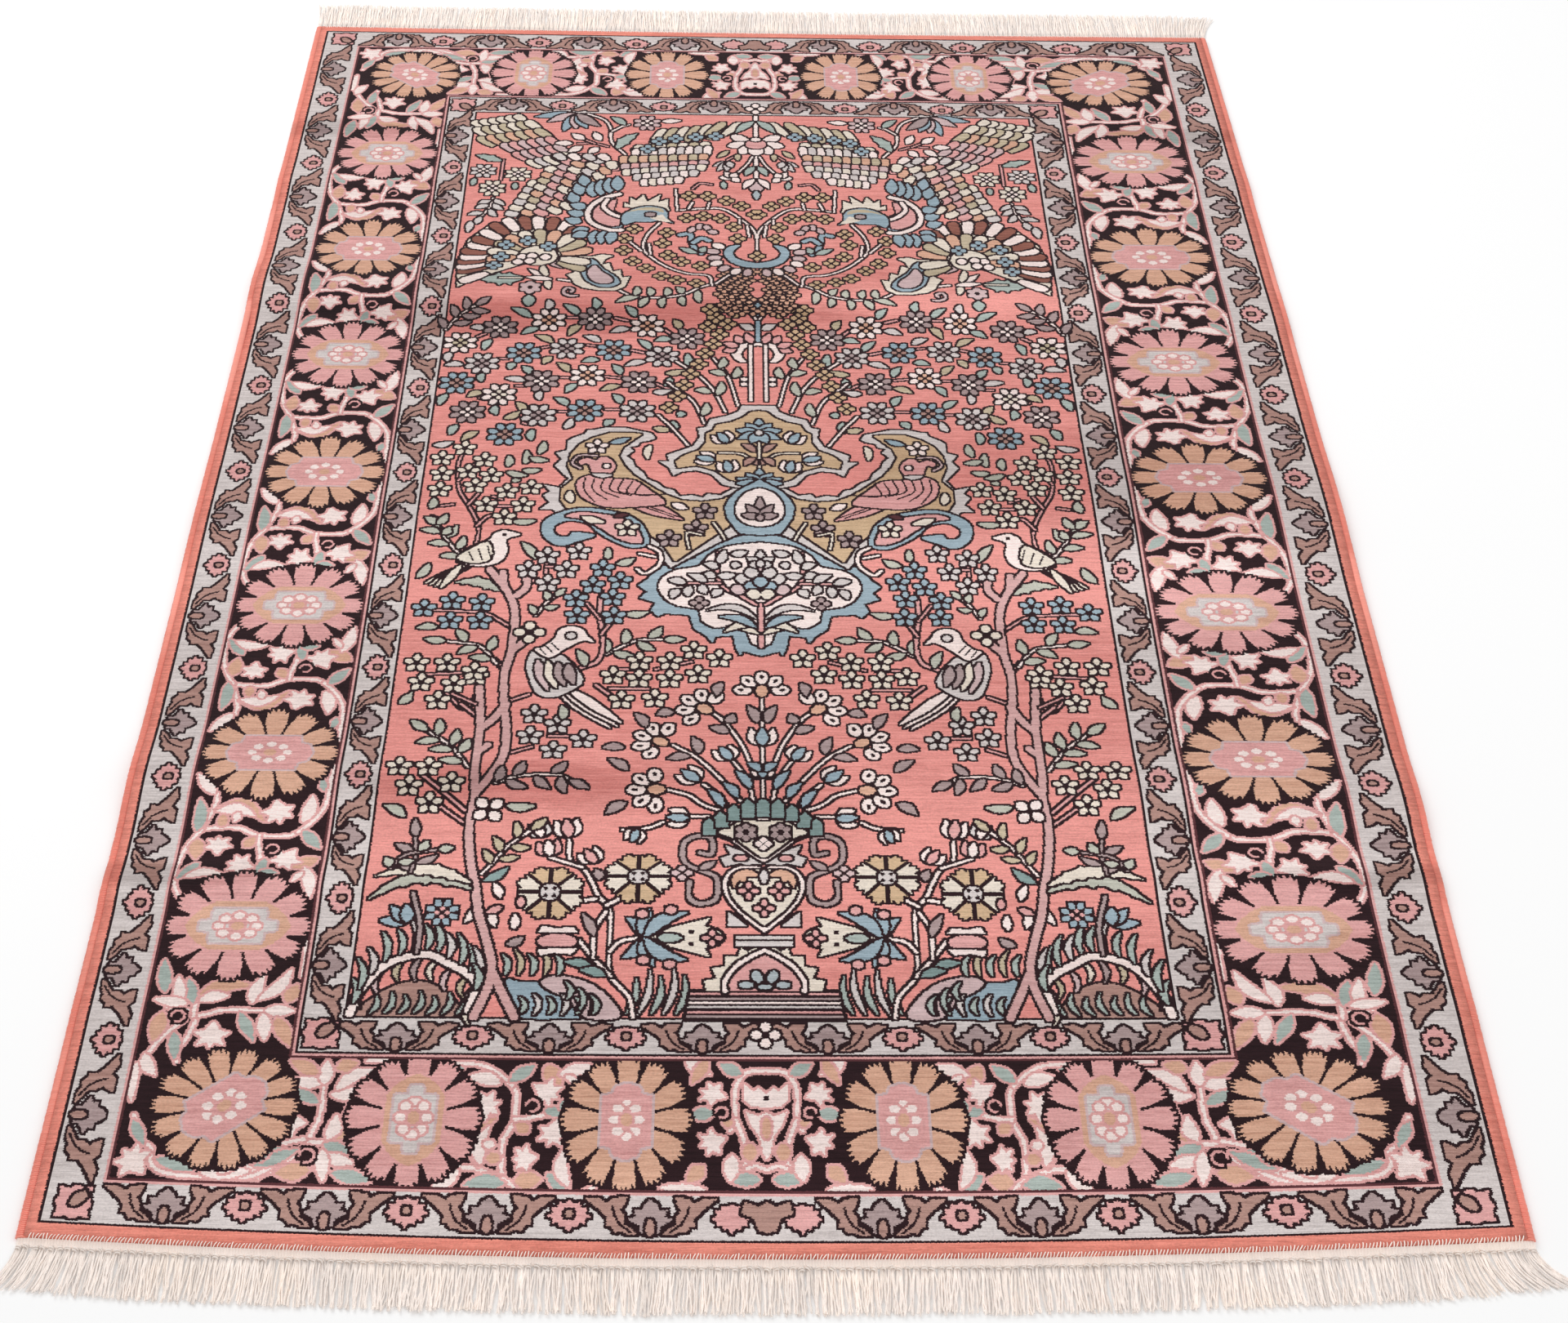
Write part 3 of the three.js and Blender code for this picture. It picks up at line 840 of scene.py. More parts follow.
def draw_trees():
    """The tall tree with its blossoms, and the frond that hangs over the mound."""
    stems(TREE_TWIGS, 1.2, "pink")
    for path in TREE_TRUNK[1:] + TREE_TRUNK[:1]:
        stroke(curve(path), 3.2, "bark")
    for path in TREE_TRUNK:
        stroke(curve(path), 3.0, "bark", None)
    leaf(113+157j, 153+152j, 6.4, 8.5, "moss", 5)
    leaf(114+160j, 152+163j, 6.4, 6.0, "sand", 6)
    stem([132+126j, 132+140j, 136+155j], 2.0, "mauve")
    round_flower(124+146j, "blue", "pink", 0.78)
    for tip in (148+142j, 144+149j, 138+150j):
        leaf(137+141j, tip, 4.6, 0, "blue")
    spray([138+166j, 137+174j, 138+186j], (0.05, 0.4, 0.7), 9, 3.4, "mauve", "mauve")
    spray([146+168j, 141+176j, 128+179j], (0.0, 0.3, 0.8), 6, 3.6, "moss", "mauve")
    spray([120+223j, 128+236j, 139+246j], (0.2, 0.35, 0.5, 0.62, 0.8, 0.9), 9.5, 4, "moss")
    spray([108+214j, 99+218j, 84+219j, 78+216j], (0.05, 0.2, 0.35, 0.5, 0.7, 0.85), 9, 3.8, "mauve")
    spray([113+287j, 121+298j, 136+301j], (0.2, 0.4, 0.6, 0.8), 9, 4, "moss")
    spray([67+293j, 54+302j, 42+303j], (0.0, 0.2, 0.4, 0.6, 0.8), 9, 4, "moss")
    spray([133+356j, 140+366j, 145+376j], (0.1, 0.3, 0.5, 0.7, 0.9), 9, 3.6, "moss")
    spray([98+318j, 94+326j, 90+331j], (0.1, 0.4, 0.7), 6, 3.0, "moss")
    stem([78+284j, 70+289j, 68+300j, 70+318j, 70+334j], 2.0, "pink")
    stem([69+306j, 64+316j], 1.2, "pink")
    stem([70+316j, 76+326j], 1.2, "pink")
    blossom(110+200j, 4, 4.2, 2.6, 2.2, "ivory", 50, "blue")
    cross_flower(100+307j, "sand", 1.6)
    leaves("moss", 4.0, [(100+355j, 107+366j), (64+352j, 56+356j), (59+319j, 49+321j), (75+286j, 79+296j),
        (152+262j, 147+269j), (152+342j, 147+352j), (140+310j, 149+309j), (143+196j, 152+202j),
        (103+202j, 91+202j)], 0.8)
    leaf(115+334j, 135+339j, 5.4, 3.2, "moss", 4)
    leaf(68+355j, 68+363j, 3.4, 0, "moss")


CREAM_STARS = [144+275j, 130+274j, 136+264j, 121+279j, 148+223j, 136+223j, 143+212j, 134+203j, 126+214j,
    147+287j, 134+287j, 122+282j, 52+289j, 39+289j, 29+296j, 18+291j, 63+280j, 52+278j, 39+278j, 27+281j,
    59+265j, 45+266j, 138+435j, 148+427j, 128+426j, 147+415j, 135+417j, 124+414j, 147+403j, 131+406j,
    116+402j, 105+405j, 125+392j, 108+392j, 116+383j]
WHITE_STARS = [95+256j, 96+243j, 85+250j, 74+241j, 86+234j, 95+357j, 81+360j, 103+348j, 86+348j, 94+339j]
BLUE_STARS = [70+349j, 74+338j, 62+341j, 81+329j, 65+330j, 80+318j, 64+318j, 147+322j, 135+327j, 122+326j,
    135+314j, 122+314j]
STAR_STEMS = [[131+352j, 128+362j, 127+376j, 133+392j, 138+403j, 140+421j, 139+430j], [133+392j, 129+400j],
    [128+377j, 123+384j, 117+384j], [140+392j, 145+391j], [119+391j, 112+391j], [118+396j, 122+398j],
    [139+410j, 133+421j, 131+425j], [64+272j, 48+272j], [60+284j, 50+284j], [45+284j, 30+289j],
    [130+268j, 120+262j], [88+243j, 80+243j], [142+280j, 128+281j], [58+262j, 70+274j]]


def draw_stars():
    stems(STAR_STEMS, 1.2, "pink")
    for places, colour in ((CREAM_STARS, "sand"), (WHITE_STARS, "grey"), (BLUE_STARS, "blue")):
        for at in places:
            star_flower(at, colour)
    leaves("moss", 3.8, [(117+421j, 117+430j), (109+423j, 109+434j), (107+428j, 98+426j),
        (110+418j, 101+419j), (117+417j, 107+414j), (103+431j, 101+441j), (150+389j, 149+397j),
        (112+380j, 101+381j), (147+378j, 152+383j), (146+378j, 142+385j), (143+371j, 140+376j),
        (83+253j, 84+262j), (113+409j, 113+412j)], 0.7)


# The field of round flowers: place, petals and heart.
ROUND_FLOWERS = [(147+519j, "ivory", "olive"), (128+532j, "mauve", "ivory"), (104+538j, "ivory", "tan"),
    (81+539j, "mauve", "ivory"), (55+534j, "ivory", "tan"), (35+524j, "mauve", "ivory"),
    (115+511j, "blue", "brown"), (94+515j, "grey", "mauve"), (71+514j, "blue", "brown"),
    (47+509j, "grey", "mauve"), (135+502j, "grey", "mauve"), (146+486j, "blue", "brown"),
    (125+477j, "ivory", "sand"), (105+488j, "mauve", "ivory"), (83+493j, "ivory", "tan"),
    (58+488j, "mauve", "ivory"), (139+463j, "mauve", "ivory"), (105+461j, "grey", "mauve"),
    (83+465j, "blue", "brown"), (58+465j, "grey", "mauve"), (120+446j, "blue", "brown")]
ROUND_LEAVES = [(113+540j, 123+547j), (105+546j, 105+554j), (89+542j, 97+550j), (88+535j, 94+526j),
    (81+547j, 82+555j), (64+532j, 73+529j), (61+541j, 66+549j), (39+532j, 42+539j), (43+524j, 51+522j),
    (136+531j, 143+532j), (132+522j, 135+513j), (101+520j, 110+526j), (109+532j, 117+527j),
    (78+521j, 86+526j), (53+515j, 59+523j), (101+508j, 105+502j), (78+506j, 86+504j), (55+505j, 65+501j),
    (67+494j, 71+502j), (92+496j, 98+503j), (111+494j, 115+500j), (113+488j, 123+490j), (88+486j, 93+479j),
    (67+485j, 76+481j), (119+503j, 121+497j), (151+511j, 152+503j), (150+477j, 153+468j),
    (133+479j, 140+475j), (134+494j, 134+487j), (105+480j, 105+473j), (91+469j, 98+475j),
    (112+464j, 116+471j), (66+471j, 70+478j), (144+501j, 153+500j), (126+468j, 125+461j),
    (121+458j, 114+464j), (69+458j, 73+453j), (92+451j, 89+459j), (143+453j, 146+445j),
    (133+448j, 140+441j), (107+450j, 107+441j), (153+437j, 144+440j), (39+464j, 35+463j),
    (50+452j, 41+451j), (41+449j, 41+458j), (51+480j, 42+482j), (45+485j, 43+492j), (45+495j, 36+498j),
    (35+502j, 35+512j)]
ROUND_LINKS = [[96+540j, 90+540j], [71+540j, 65+538j], [47+532j, 43+528j], [108+515j, 101+517j],
    [84+518j, 79+517j], [62+514j, 56+512j], [127+506j, 123+506j], [97+491j, 91+491j], [74+492j, 67+491j],
    [117+484j, 113+484j], [50+487j, 42+482j], [139+524j, 135+527j], [95+464j, 91+464j], [73+466j, 67+466j],
    [134+474j, 131+473j], [112+455j, 110+454j]]


def draw_round_flowers():
    stems(ROUND_LINKS, 1.4, "pink")
    for k, (base, tip) in enumerate(ROUND_LEAVES):
        leaf(base, tip, 4.0, 0.8, ("sage", "grey", "sage", "olive")[k % 4])
    for at, outer, inner in ROUND_FLOWERS:
        round_flower(at, outer, inner)
    spray([155+530j, 149+541j, 141+549j], (0.1, 0.3, 0.5, 0.65, 0.8, 0.95), 9, 3.6, "mauve")


# The left halves of the lobed medallion, the drop above it and the crown over both, and the scroll
# that curls out beside them.
MEDALLION = [293j, 8+296j, 9+293j, 11+298j, 12+306j, 20+305j, 21+301j, 24+306j, 29+310j, 31+319j, 42+320j,
    45+318j, 48+322j, 46+327j, 53+330j, 50+334j, 54+338j, 50+342j, 48+346j, 43+351j, 36+354j, 29+356j,
    26+363j, 20+368j, 11+370j, 4+373j, 373j]
DROP = [372j, 9+373j, 11+376j, 15+384j, 16+391j, 14+397j, 11+402j, 6+407j, 412j]
CROWN = [470j, 8+470j, 10+465j, 15+462j, 23+459j, 25+453j, 29+452j, 28+445j, 31+438j, 38+434j, 43+431j,
    42+426j, 47+426j, 42+421j, 40+415j, 36+418j, 29+419j, 22+416j, 17+408j, 11+406j, 404j]
SCROLL_EDGE = [11+406j, 18+400j, 24+401j, 26+398j, 31+400j, 37+399j, 40+404j, 44+405j, 47+409j, 52+412j,
    54+417j, 58+422j, 59+426j, 62+430j, 59+434j, 61+437j, 57+438j, 56+441j, 52+442j, 49+444j, 51+448j,
    58+450j, 64+452j, 72+452j, 78+450j, 81+450j, 82+447j, 87+444j, 90+441j, 90+434j, 95+432j, 92+427j,
    95+422j, 91+416j, 88+412j, 92+405j, 99+407j, 96+402j, 99+399j, 96+394j, 100+389j, 94+389j, 91+384j,
    60+384j, 40+350j, 20+366j, 8+374j, 8+400j]
SCROLL_TAN = [10+402j, 17+397j, 26+395j, 36+396j, 43+400j, 50+406j, 58+414j, 63+422j, 66+430j, 64+437j,
    59+443j, 55+447j, 60+448j, 70+448j, 78+444j, 84+439j, 88+431j, 89+422j, 86+413j, 86+411j, 91+404j,
    91+396j, 88+390j, 84+388j, 62+384j, 44+366j, 38+354j, 30+362j, 20+372j, 12+380j, 12+398j]


def flower_of_leaves(heart, tips, width, colour, middle):
    for tip in tips:
        leaf(heart, tip, width, 0, colour)
    spot(heart, 1.8, 1.8, middle)


def draw_medallion():
    fill(MEDALLION + [-1+373j, -1+293j], "blue")
    inner = [-1+299j, 4+301j, 6+309j, 12+312j, 20+311j, 26+316j, 27+323j, 36+325j, 42+330j, 45+337j,
        43+344j, 36+349j, 27+351j, 23+358j, 15+364j, 6+366j, -1+367j]
    fill(curve(inner, False, 2), "ivory")
    stem([299j, 326j], 2.4, "pink")
    leaves("sand", 3.6, [(1+307j, 15+311j), (2+313j, 16+308j)], 2.0)
    leaf(2+311j, 19+318j, 4.0, 2.6, "blue")
    leaf(2+317j, 24+322j, 3.4, 5.0, "grey")
    stem([2+326j, 9+332j, 16+337j, 19+345j, 19+360j], 1.8, "pink")
    stem([18+340j, 30+340j, 36+339j], 1.2, "pink")
    leaves("grey", 4.0, [(19+353j, 16+362j), (19+350j, 25+353j), (19+345j, 11+346j), (20+344j, 26+346j),
        (24+341j, 32+346j), (33+340j, 41+342j), (26+339j, 24+333j), (31+338j, 32+331j), (36+336j, 39+330j),
        (17+336j, 21+331j), (13+359j, 6+361j), (13+353j, 9+352j)], 0.6)
    blossom(27+327j, 4, 2.4, 1.6, 1.4, "mauve")
    for dot, colour in ((10+336j, "lilac"), (8+343j, "grey"), (349j, "lilac"), (4+347j, "grey"),
            (4+338j, "blue"), (341j, "blue"), (3+333j, "sand")):
        spot(dot, 3.2, 2.8, colour, 60)
    flower_of_leaves(353j, (362j, 6+357j, 5+352j), 4, "grey", "grey")
    fill(SCROLL_EDGE, "grey")
    fill(SCROLL_TAN, "gold")
    fill(CROWN + [-1+404j, -1+470j], "grey")
    inner = [-1+466j, 4+465j, 7+461j, 13+457j, 20+455j, 22+450j, 25+448j, 25+441j, 28+435j, 35+431j,
        39+426j, 38+421j, 29+423j, 20+419j, 14+412j, 8+410j, -1+409j]
    fill(inner, "gold")
    stem([410j, 446j], 1.2, "sand")
    stem([1+424j, 8+432j, 19+433j], 1.0, "sand")
    flower_of_leaves(449j, (460j, 6+456j, 11+451j, 10+444j, 4+441j), 5, "blue", "grey")
    for base, facing in ((15+441j, 62), (21+427j, 20), (14+418j, 80)):
        tulip(base, facing, 0.95, "ivory", "blue")
    flower_of_leaves(410j, (421j, 6+417j, 11+413j, 11+409j), 4.6, "blue", "grey")
    leaves("brown", 3.4, [(1+424j, 6+429j), (2+434j, 8+440j), (2+429j, 7+423j)])
    fill(DROP + [-1+412j, -1+372j], "blue")
    inside = [-1+378j, 5+379j, 10+384j, 11+391j, 9+398j, 5+403j, -1+406j]
    fill(curve(inside, False, 2), "ivory")
    flower_of_leaves(384j, (399j, 6+393j, 8+386j), 4.2, "mauve", "mauve")
    for at in (25+388j, 29+376j, 41+369j):
        star_flower(at, "mauve")
    leaf(40+394j, 33+390j, 4, 0.4, "ivory")
    leaf(51+439j, 52+427j, 3.4, 1.0, "sand")
    stems(([32+363j, 33+373j, 27+372j], [21+380j, 18+374j, 16+369j]), 1.2, "sand")


def draw_scroll_bird():
    """The pink bird in the head of the tan scroll."""
    leaf(60+394j, 35+382j, 7.4, -1.0, "pink")
    for way in (-1.5, 1.5):
        stroke([57+394j + way, 38+384j + way], 0.8, "black", None)
    body = [84+410j, 78+415j, 72+414j, 67+412j, 58+411j, 51+404j, 44+396j, 45+393j, 58+391j, 70+391j,
        78+395j, 83+401j]
    blob(body, "pink")
    for k in range(7):
        top = 80.6 - 4.4 * k + 412.6j - (1.2j * max(k - 3, 0))
        path = [top, top + complex(0.4 * k, -9), top + complex(-5 - 1.2 * k, -18 + 1.6 * k)]
        stroke(curve(path), 0.9, "black", None)
    head = [72+415j, 77+415j, 78+419j, 80+424j, 83+423j, 84+426j, 80+428j, 76+426j, 74+429j, 70+428j,
        67+422j, 69+416j]
    blob(head, "pink")
    spot(71+422j, 1.3, 1.6, "ivory")
    leaf(68+415j, 78+416j, 2.8, -1.0, "grey")
    star_flower(76+437j, "ivory")
    leaf(70+440j, 61+444j, 3.6, 0.4, "blue")
    leaf(86+394j, 87+403j, 4, -0.6, "sand")
    stem([76+430j, 84+430j, 87+424j, 83+420j], 1.2, "lilac")


def draw_lower_scroll():
    """The small pink scroll with a blue edge under the tan one."""
    outline = [50+366j, 53+378j, 60+385j, 72+389j, 82+390j, 92+386j, 98+380j, 98+372j, 94+366j, 88+364j,
        82+367j, 74+371j, 84+373j, 86+370j, 92+371j, 93+377j, 87+381j, 78+379j, 72+372j, 64+366j, 57+363j]
    blob(outline, "blue")
    inside = [53+367j, 56+376j, 63+383j, 73+386j, 82+387j, 88+384j, 80+382j, 72+376j, 64+369j, 57+366j]
    blob(inside, "pink")
    leaf(81+384j, 70+380j, 4, 0.6, "sand")
    star_flower(60+376j, "sand")
    leaf(66+384j, 60+386j, 2.6, 0, "maroon")
    stem([50+364j, 45+360j, 45+352j, 51+346j, 55+349j], 2.0, "ivory")
    stem([47+357j, 54+359j], 1.6, "ivory")


def draw_birds():
    """A finch in the tree and a long-tailed bird below it."""
    for k in range(4):
        leaf(128+351j + 1.6 * k, 149 - 2.6 * k + 338j - 1.0j * k, 3.4, 0, "sand")
    body = [112+373j, 108+371j, 114+368j, 113+360j, 116+353j, 124+350j, 133+352j, 135+355j, 130+362j,
        122+367j, 120+371j, 116+374j]
    blob(body, "ivory")
    wing = [122+366j, 131+360j, 135+355j, 128+352j, 120+355j]
    blob(wing, "sand")
    for k in range(3):
        stroke([122 + 4 * k + 363j - 2j * k, 120 + 4 * k + 355j - 0.6j * k], 0.8, "black", None)
    spot(115+371j, 1.2, 1.2, "black", line=None)
    for k in range(3):
        leaf(87 - 2 * k + 271j + 1j * k, 62.4 - 2.4 * k + 247.6j + 1.4j * k, 4.4, 0, "ivory")
    wings = [97+296j, 100+287j, 98+277j, 94+268j, 86+267j, 76+275j, 78+283j, 83+290j, 88+294j]
    blob(wings, "grey")
    for k, colour in enumerate(("lilac", "sand", "mauve", "mauve")):
        leaf(95.6 - 4.4 * k + 290j - 1j * k, 90 - 3.6 * k + 270j + 1.4j * k, 4.6, 0.6, colour)
    neck = [97+296j, 91+291j, 87+294j, 80+300j, 76+302j, 72+301j, 75+305j, 77+309j, 82+311j, 87+309j,
        89+303j, 93+298j]
    blob(neck, "ivory")
    spot(82+305j, 1.9, 1.9, "grey")
    for k in range(3):
        stroke([87 + 2.6 * k + 296j - 1.6j * k, 90 + 2.4 * k + 300j - 1.8j * k], 0.8, "black", None)


GARLAND = [20+547j, 25+534j, 19+528j, 22+520j, 26+512j, 29+503j, 33+495j, 36+486j, 39+477j, 43+468j,
    11+545j, 15+536j, 21+541j, 24+547j]


def draw_middle():
    """The twin columns over the crown, and the garland that hangs beside them."""
    stems(([40+505j, 34+499j, 27+491j, 21+480j, 16+465j], [22+508j, 18+500j, 14+490j, 10+470j],
        [44+488j, 38+481j, 31+472j, 26+456j], [48+462j, 41+452j, 33+438j]), 1.4)
    leaves("moss", 4.0, [(23+480j, 31+482j), (20+478j, 18+489j), (16+494j, 24+497j), (12+492j, 10+501j),
        (19+500j, 17+509j), (27+462j, 25+472j)], 1.0)
    ring = curve([-1+521j, 5+521j, 11+518j, 13+512j, 10+506j, 6+505j, 8+509j, 8+514j, 5+518j, -1+519j])
    fill(ring, "ivory")
    stroke([3.8+474j, 3.8+519j], 1.4, "ivory")
    leaves("pink", 4.2, [(11+516j, 17+514j), (10+518j, 17+521j), (8+521j, 11+527j), (3+521j, 6+529j)], 0)
    stroke([523j, 541j], 2.0, "blue")
    leaf(541j, 553j, 5.4, 0, "blue")
    stem([1+540j, 5+547j, 7+553j], 1.2, "ivory")
    leaf(2+532j, 9+536j, 4.4, 0, "grey")
    fill([oval(7+491j, 1.6, 1.4), oval(7+487j, 1.6, 1.4)], "ivory")
    for at in GARLAND:
        cross_flower(at)
    for row in range(9):
        for k in range(3):
            at = complex(2.4 + 5.4 * k + 0.9 * row * (row < 5) - 1.1 * (row > 4) * (row - 8),
                546 + 4.6 * row)
            if at.real < 24 - 0.3 * row:
                cross_flower(at + (2.6 if row % 2 else 0), "tan", 0.86)
    stem([20+571j, 29+566j, 40+558j, 60+556j, 71+563j], 1.4)
    leaves("moss", 3.8, [(60+557j, 71+552j), (55+556j, 59+548j), (47+556j, 48+548j), (38+557j, 37+550j),
        (30+563j, 29+552j), (62+558j, 61+566j), (54+558j, 55+565j), (46+558j, 46+565j),
        (38+560j, 41+566j)], 0.8)
    stroke(curve([91+557j, 95+557j, 98+560j, 96+564j, 93+562j, 94+560j]), 1.4, "lilac")


TINY_FLOWERS = [36+654j, 26+654j, 16+650j, 8+645j, 1+637j, 37+633j, 28+635j, 19+633j, 12+625j, 10+614j,
    64+622j, 69+613j, 69+602j, 64+592j, 57+585j, 49+577j, 41+573j, 31+570j, 47+619j, 49+609j, 46+598j,
    39+592j, 29+588j, 598j]
HEART_VINES = [
    [51+628j, 57+617j, 59+604j, 53+594j, 44+585j, 35+580j, 25+578j, 23+568j],
    [42+640j, 30+642j, 18+642j, 8+632j, 1+620j, 604j],
    [66+610j, 60+602j], [56+608j, 55+599j], [21+570j, 14+580j], [43+660j, 42+640j],
    [36+642j, 34+648j], [26+642j, 25+648j], [9+632j, 9+626j], [5+626j, 4+616j],
]


def draw_heart_vine():
    """The vine between the two great birds, and the blue crescent that it hangs over."""
    stems(HEART_VINES, 1.5)
    for at in TINY_FLOWERS:
        cross_flower(at)
    crescent = curve([-1+587j, 7+588j, 14+593j, 17+600j, 15+606j, 9+608j, 12+603j, 12+598j, 8+594j,
        -1+591j])
    for dot, way in ((20+607j, 30), (23+602j, 10), (22+596j, -5), (21+591j, -25), (17+586j, -45),
            (11+583j, -62), (5+582j, -80)):
        spot(dot, 3.4, 2.2, "ivory" if int(dot.imag) % 2 else "lilac", way)
    fill(crescent, "blue")
    stroke(curve([29+600j, 32+604j, 34+611j, 35+618j, 40+617j]), 2.6, "blue")
    stroke(curve([33+610j, 29+614j, 25+612j]), 2.6, "blue")
    for dot, way in ((34+622j, 120), (30+625j, 95), (26+624j, 65), (23+620j, 20)):
        spot(dot, 2.6, 1.7, "lilac", way)
    leaves("sage", 3.6, [(31+600j, 40+605j), (29+601j, 27+606j)], 0)


def draw_boteh():
    """The upright teardrop with a sawn cream edge, and the leaves beside it."""
    stem([101+572j, 93+570j], 2.0, "ivory")
    edge = [74+597j, 80+598j, 85+596j, 92+596j, 90+590j, 96+585j, 93+580j, 97+577j, 94+572j, 93+568j,
        88+564j, 80+562j, 72+562j, 67+566j, 65+576j, 69+575j, 70+583j, 74+581j, 76+590j, 80+588j, 78+594j]
    fill(edge, "sand")
    tear = [85+594j, 90+585j, 89+577j, 86+570j, 79+565j, 73+566j, 70+570j, 73+577j, 79+584j]
    blob(tear, "blue")
    fill(shrunk(curve(tear, True, 3), 80+575j, 0.66), "lilac")
    stroke(curve([100+585j, 105+588j, 102+592j, 97+590j]), 1.6, "lilac")
    leaf(108+574j, 117+583j, 3.6, 0, "ivory")
    leaf(107+575j, 110+588j, 3.6, -0.6, "sand")
    leaf(106+572j, 105+562j, 3.6, 0.8, "sand")
    leaf(104+572j, 118+574j, 4, 0, "ivory")
    leaf(119+573j, 141+571j, 11, 0, "sage", 4)
    stroke([120+573j, 131+573j], 1.0, "sand")
    blossom(115+564j, 6, 3.6, 2.2, 1.9, "lilac", 90, "pink")
    leaf(115+557j, 115+548j, 6, 0, "sage")


def feather(base, tip, width, colour):
    """A feather with a blunt round tip."""
    length = abs(tip - base)
    half = [0.5j * width * 0.5, 0.3 * length + 0.5j * width * 0.9, 0.8 * length + 0.5j * width,
        0.96 * length + 0.3j * width, length + 0j]
    fill(base + mirrored(half) * (tip - base) / length, colour)


def feather_rows(rows):
    """Overlapping rows of feathers. A row gives its two ends, how many feathers it has, where each one
    points, their width and their colours by turns."""
    for start, end, count, reach, width, colours in rows:
        for k in range(count):
            base = start + (end - start) * k / max(count - 1, 1)
            if "blue" in colours:
                leaf(base, base + 1.2 * reach, width, 0, "blue")
            else:
                feather(base, base + reach, width, colours[k % len(colours)])


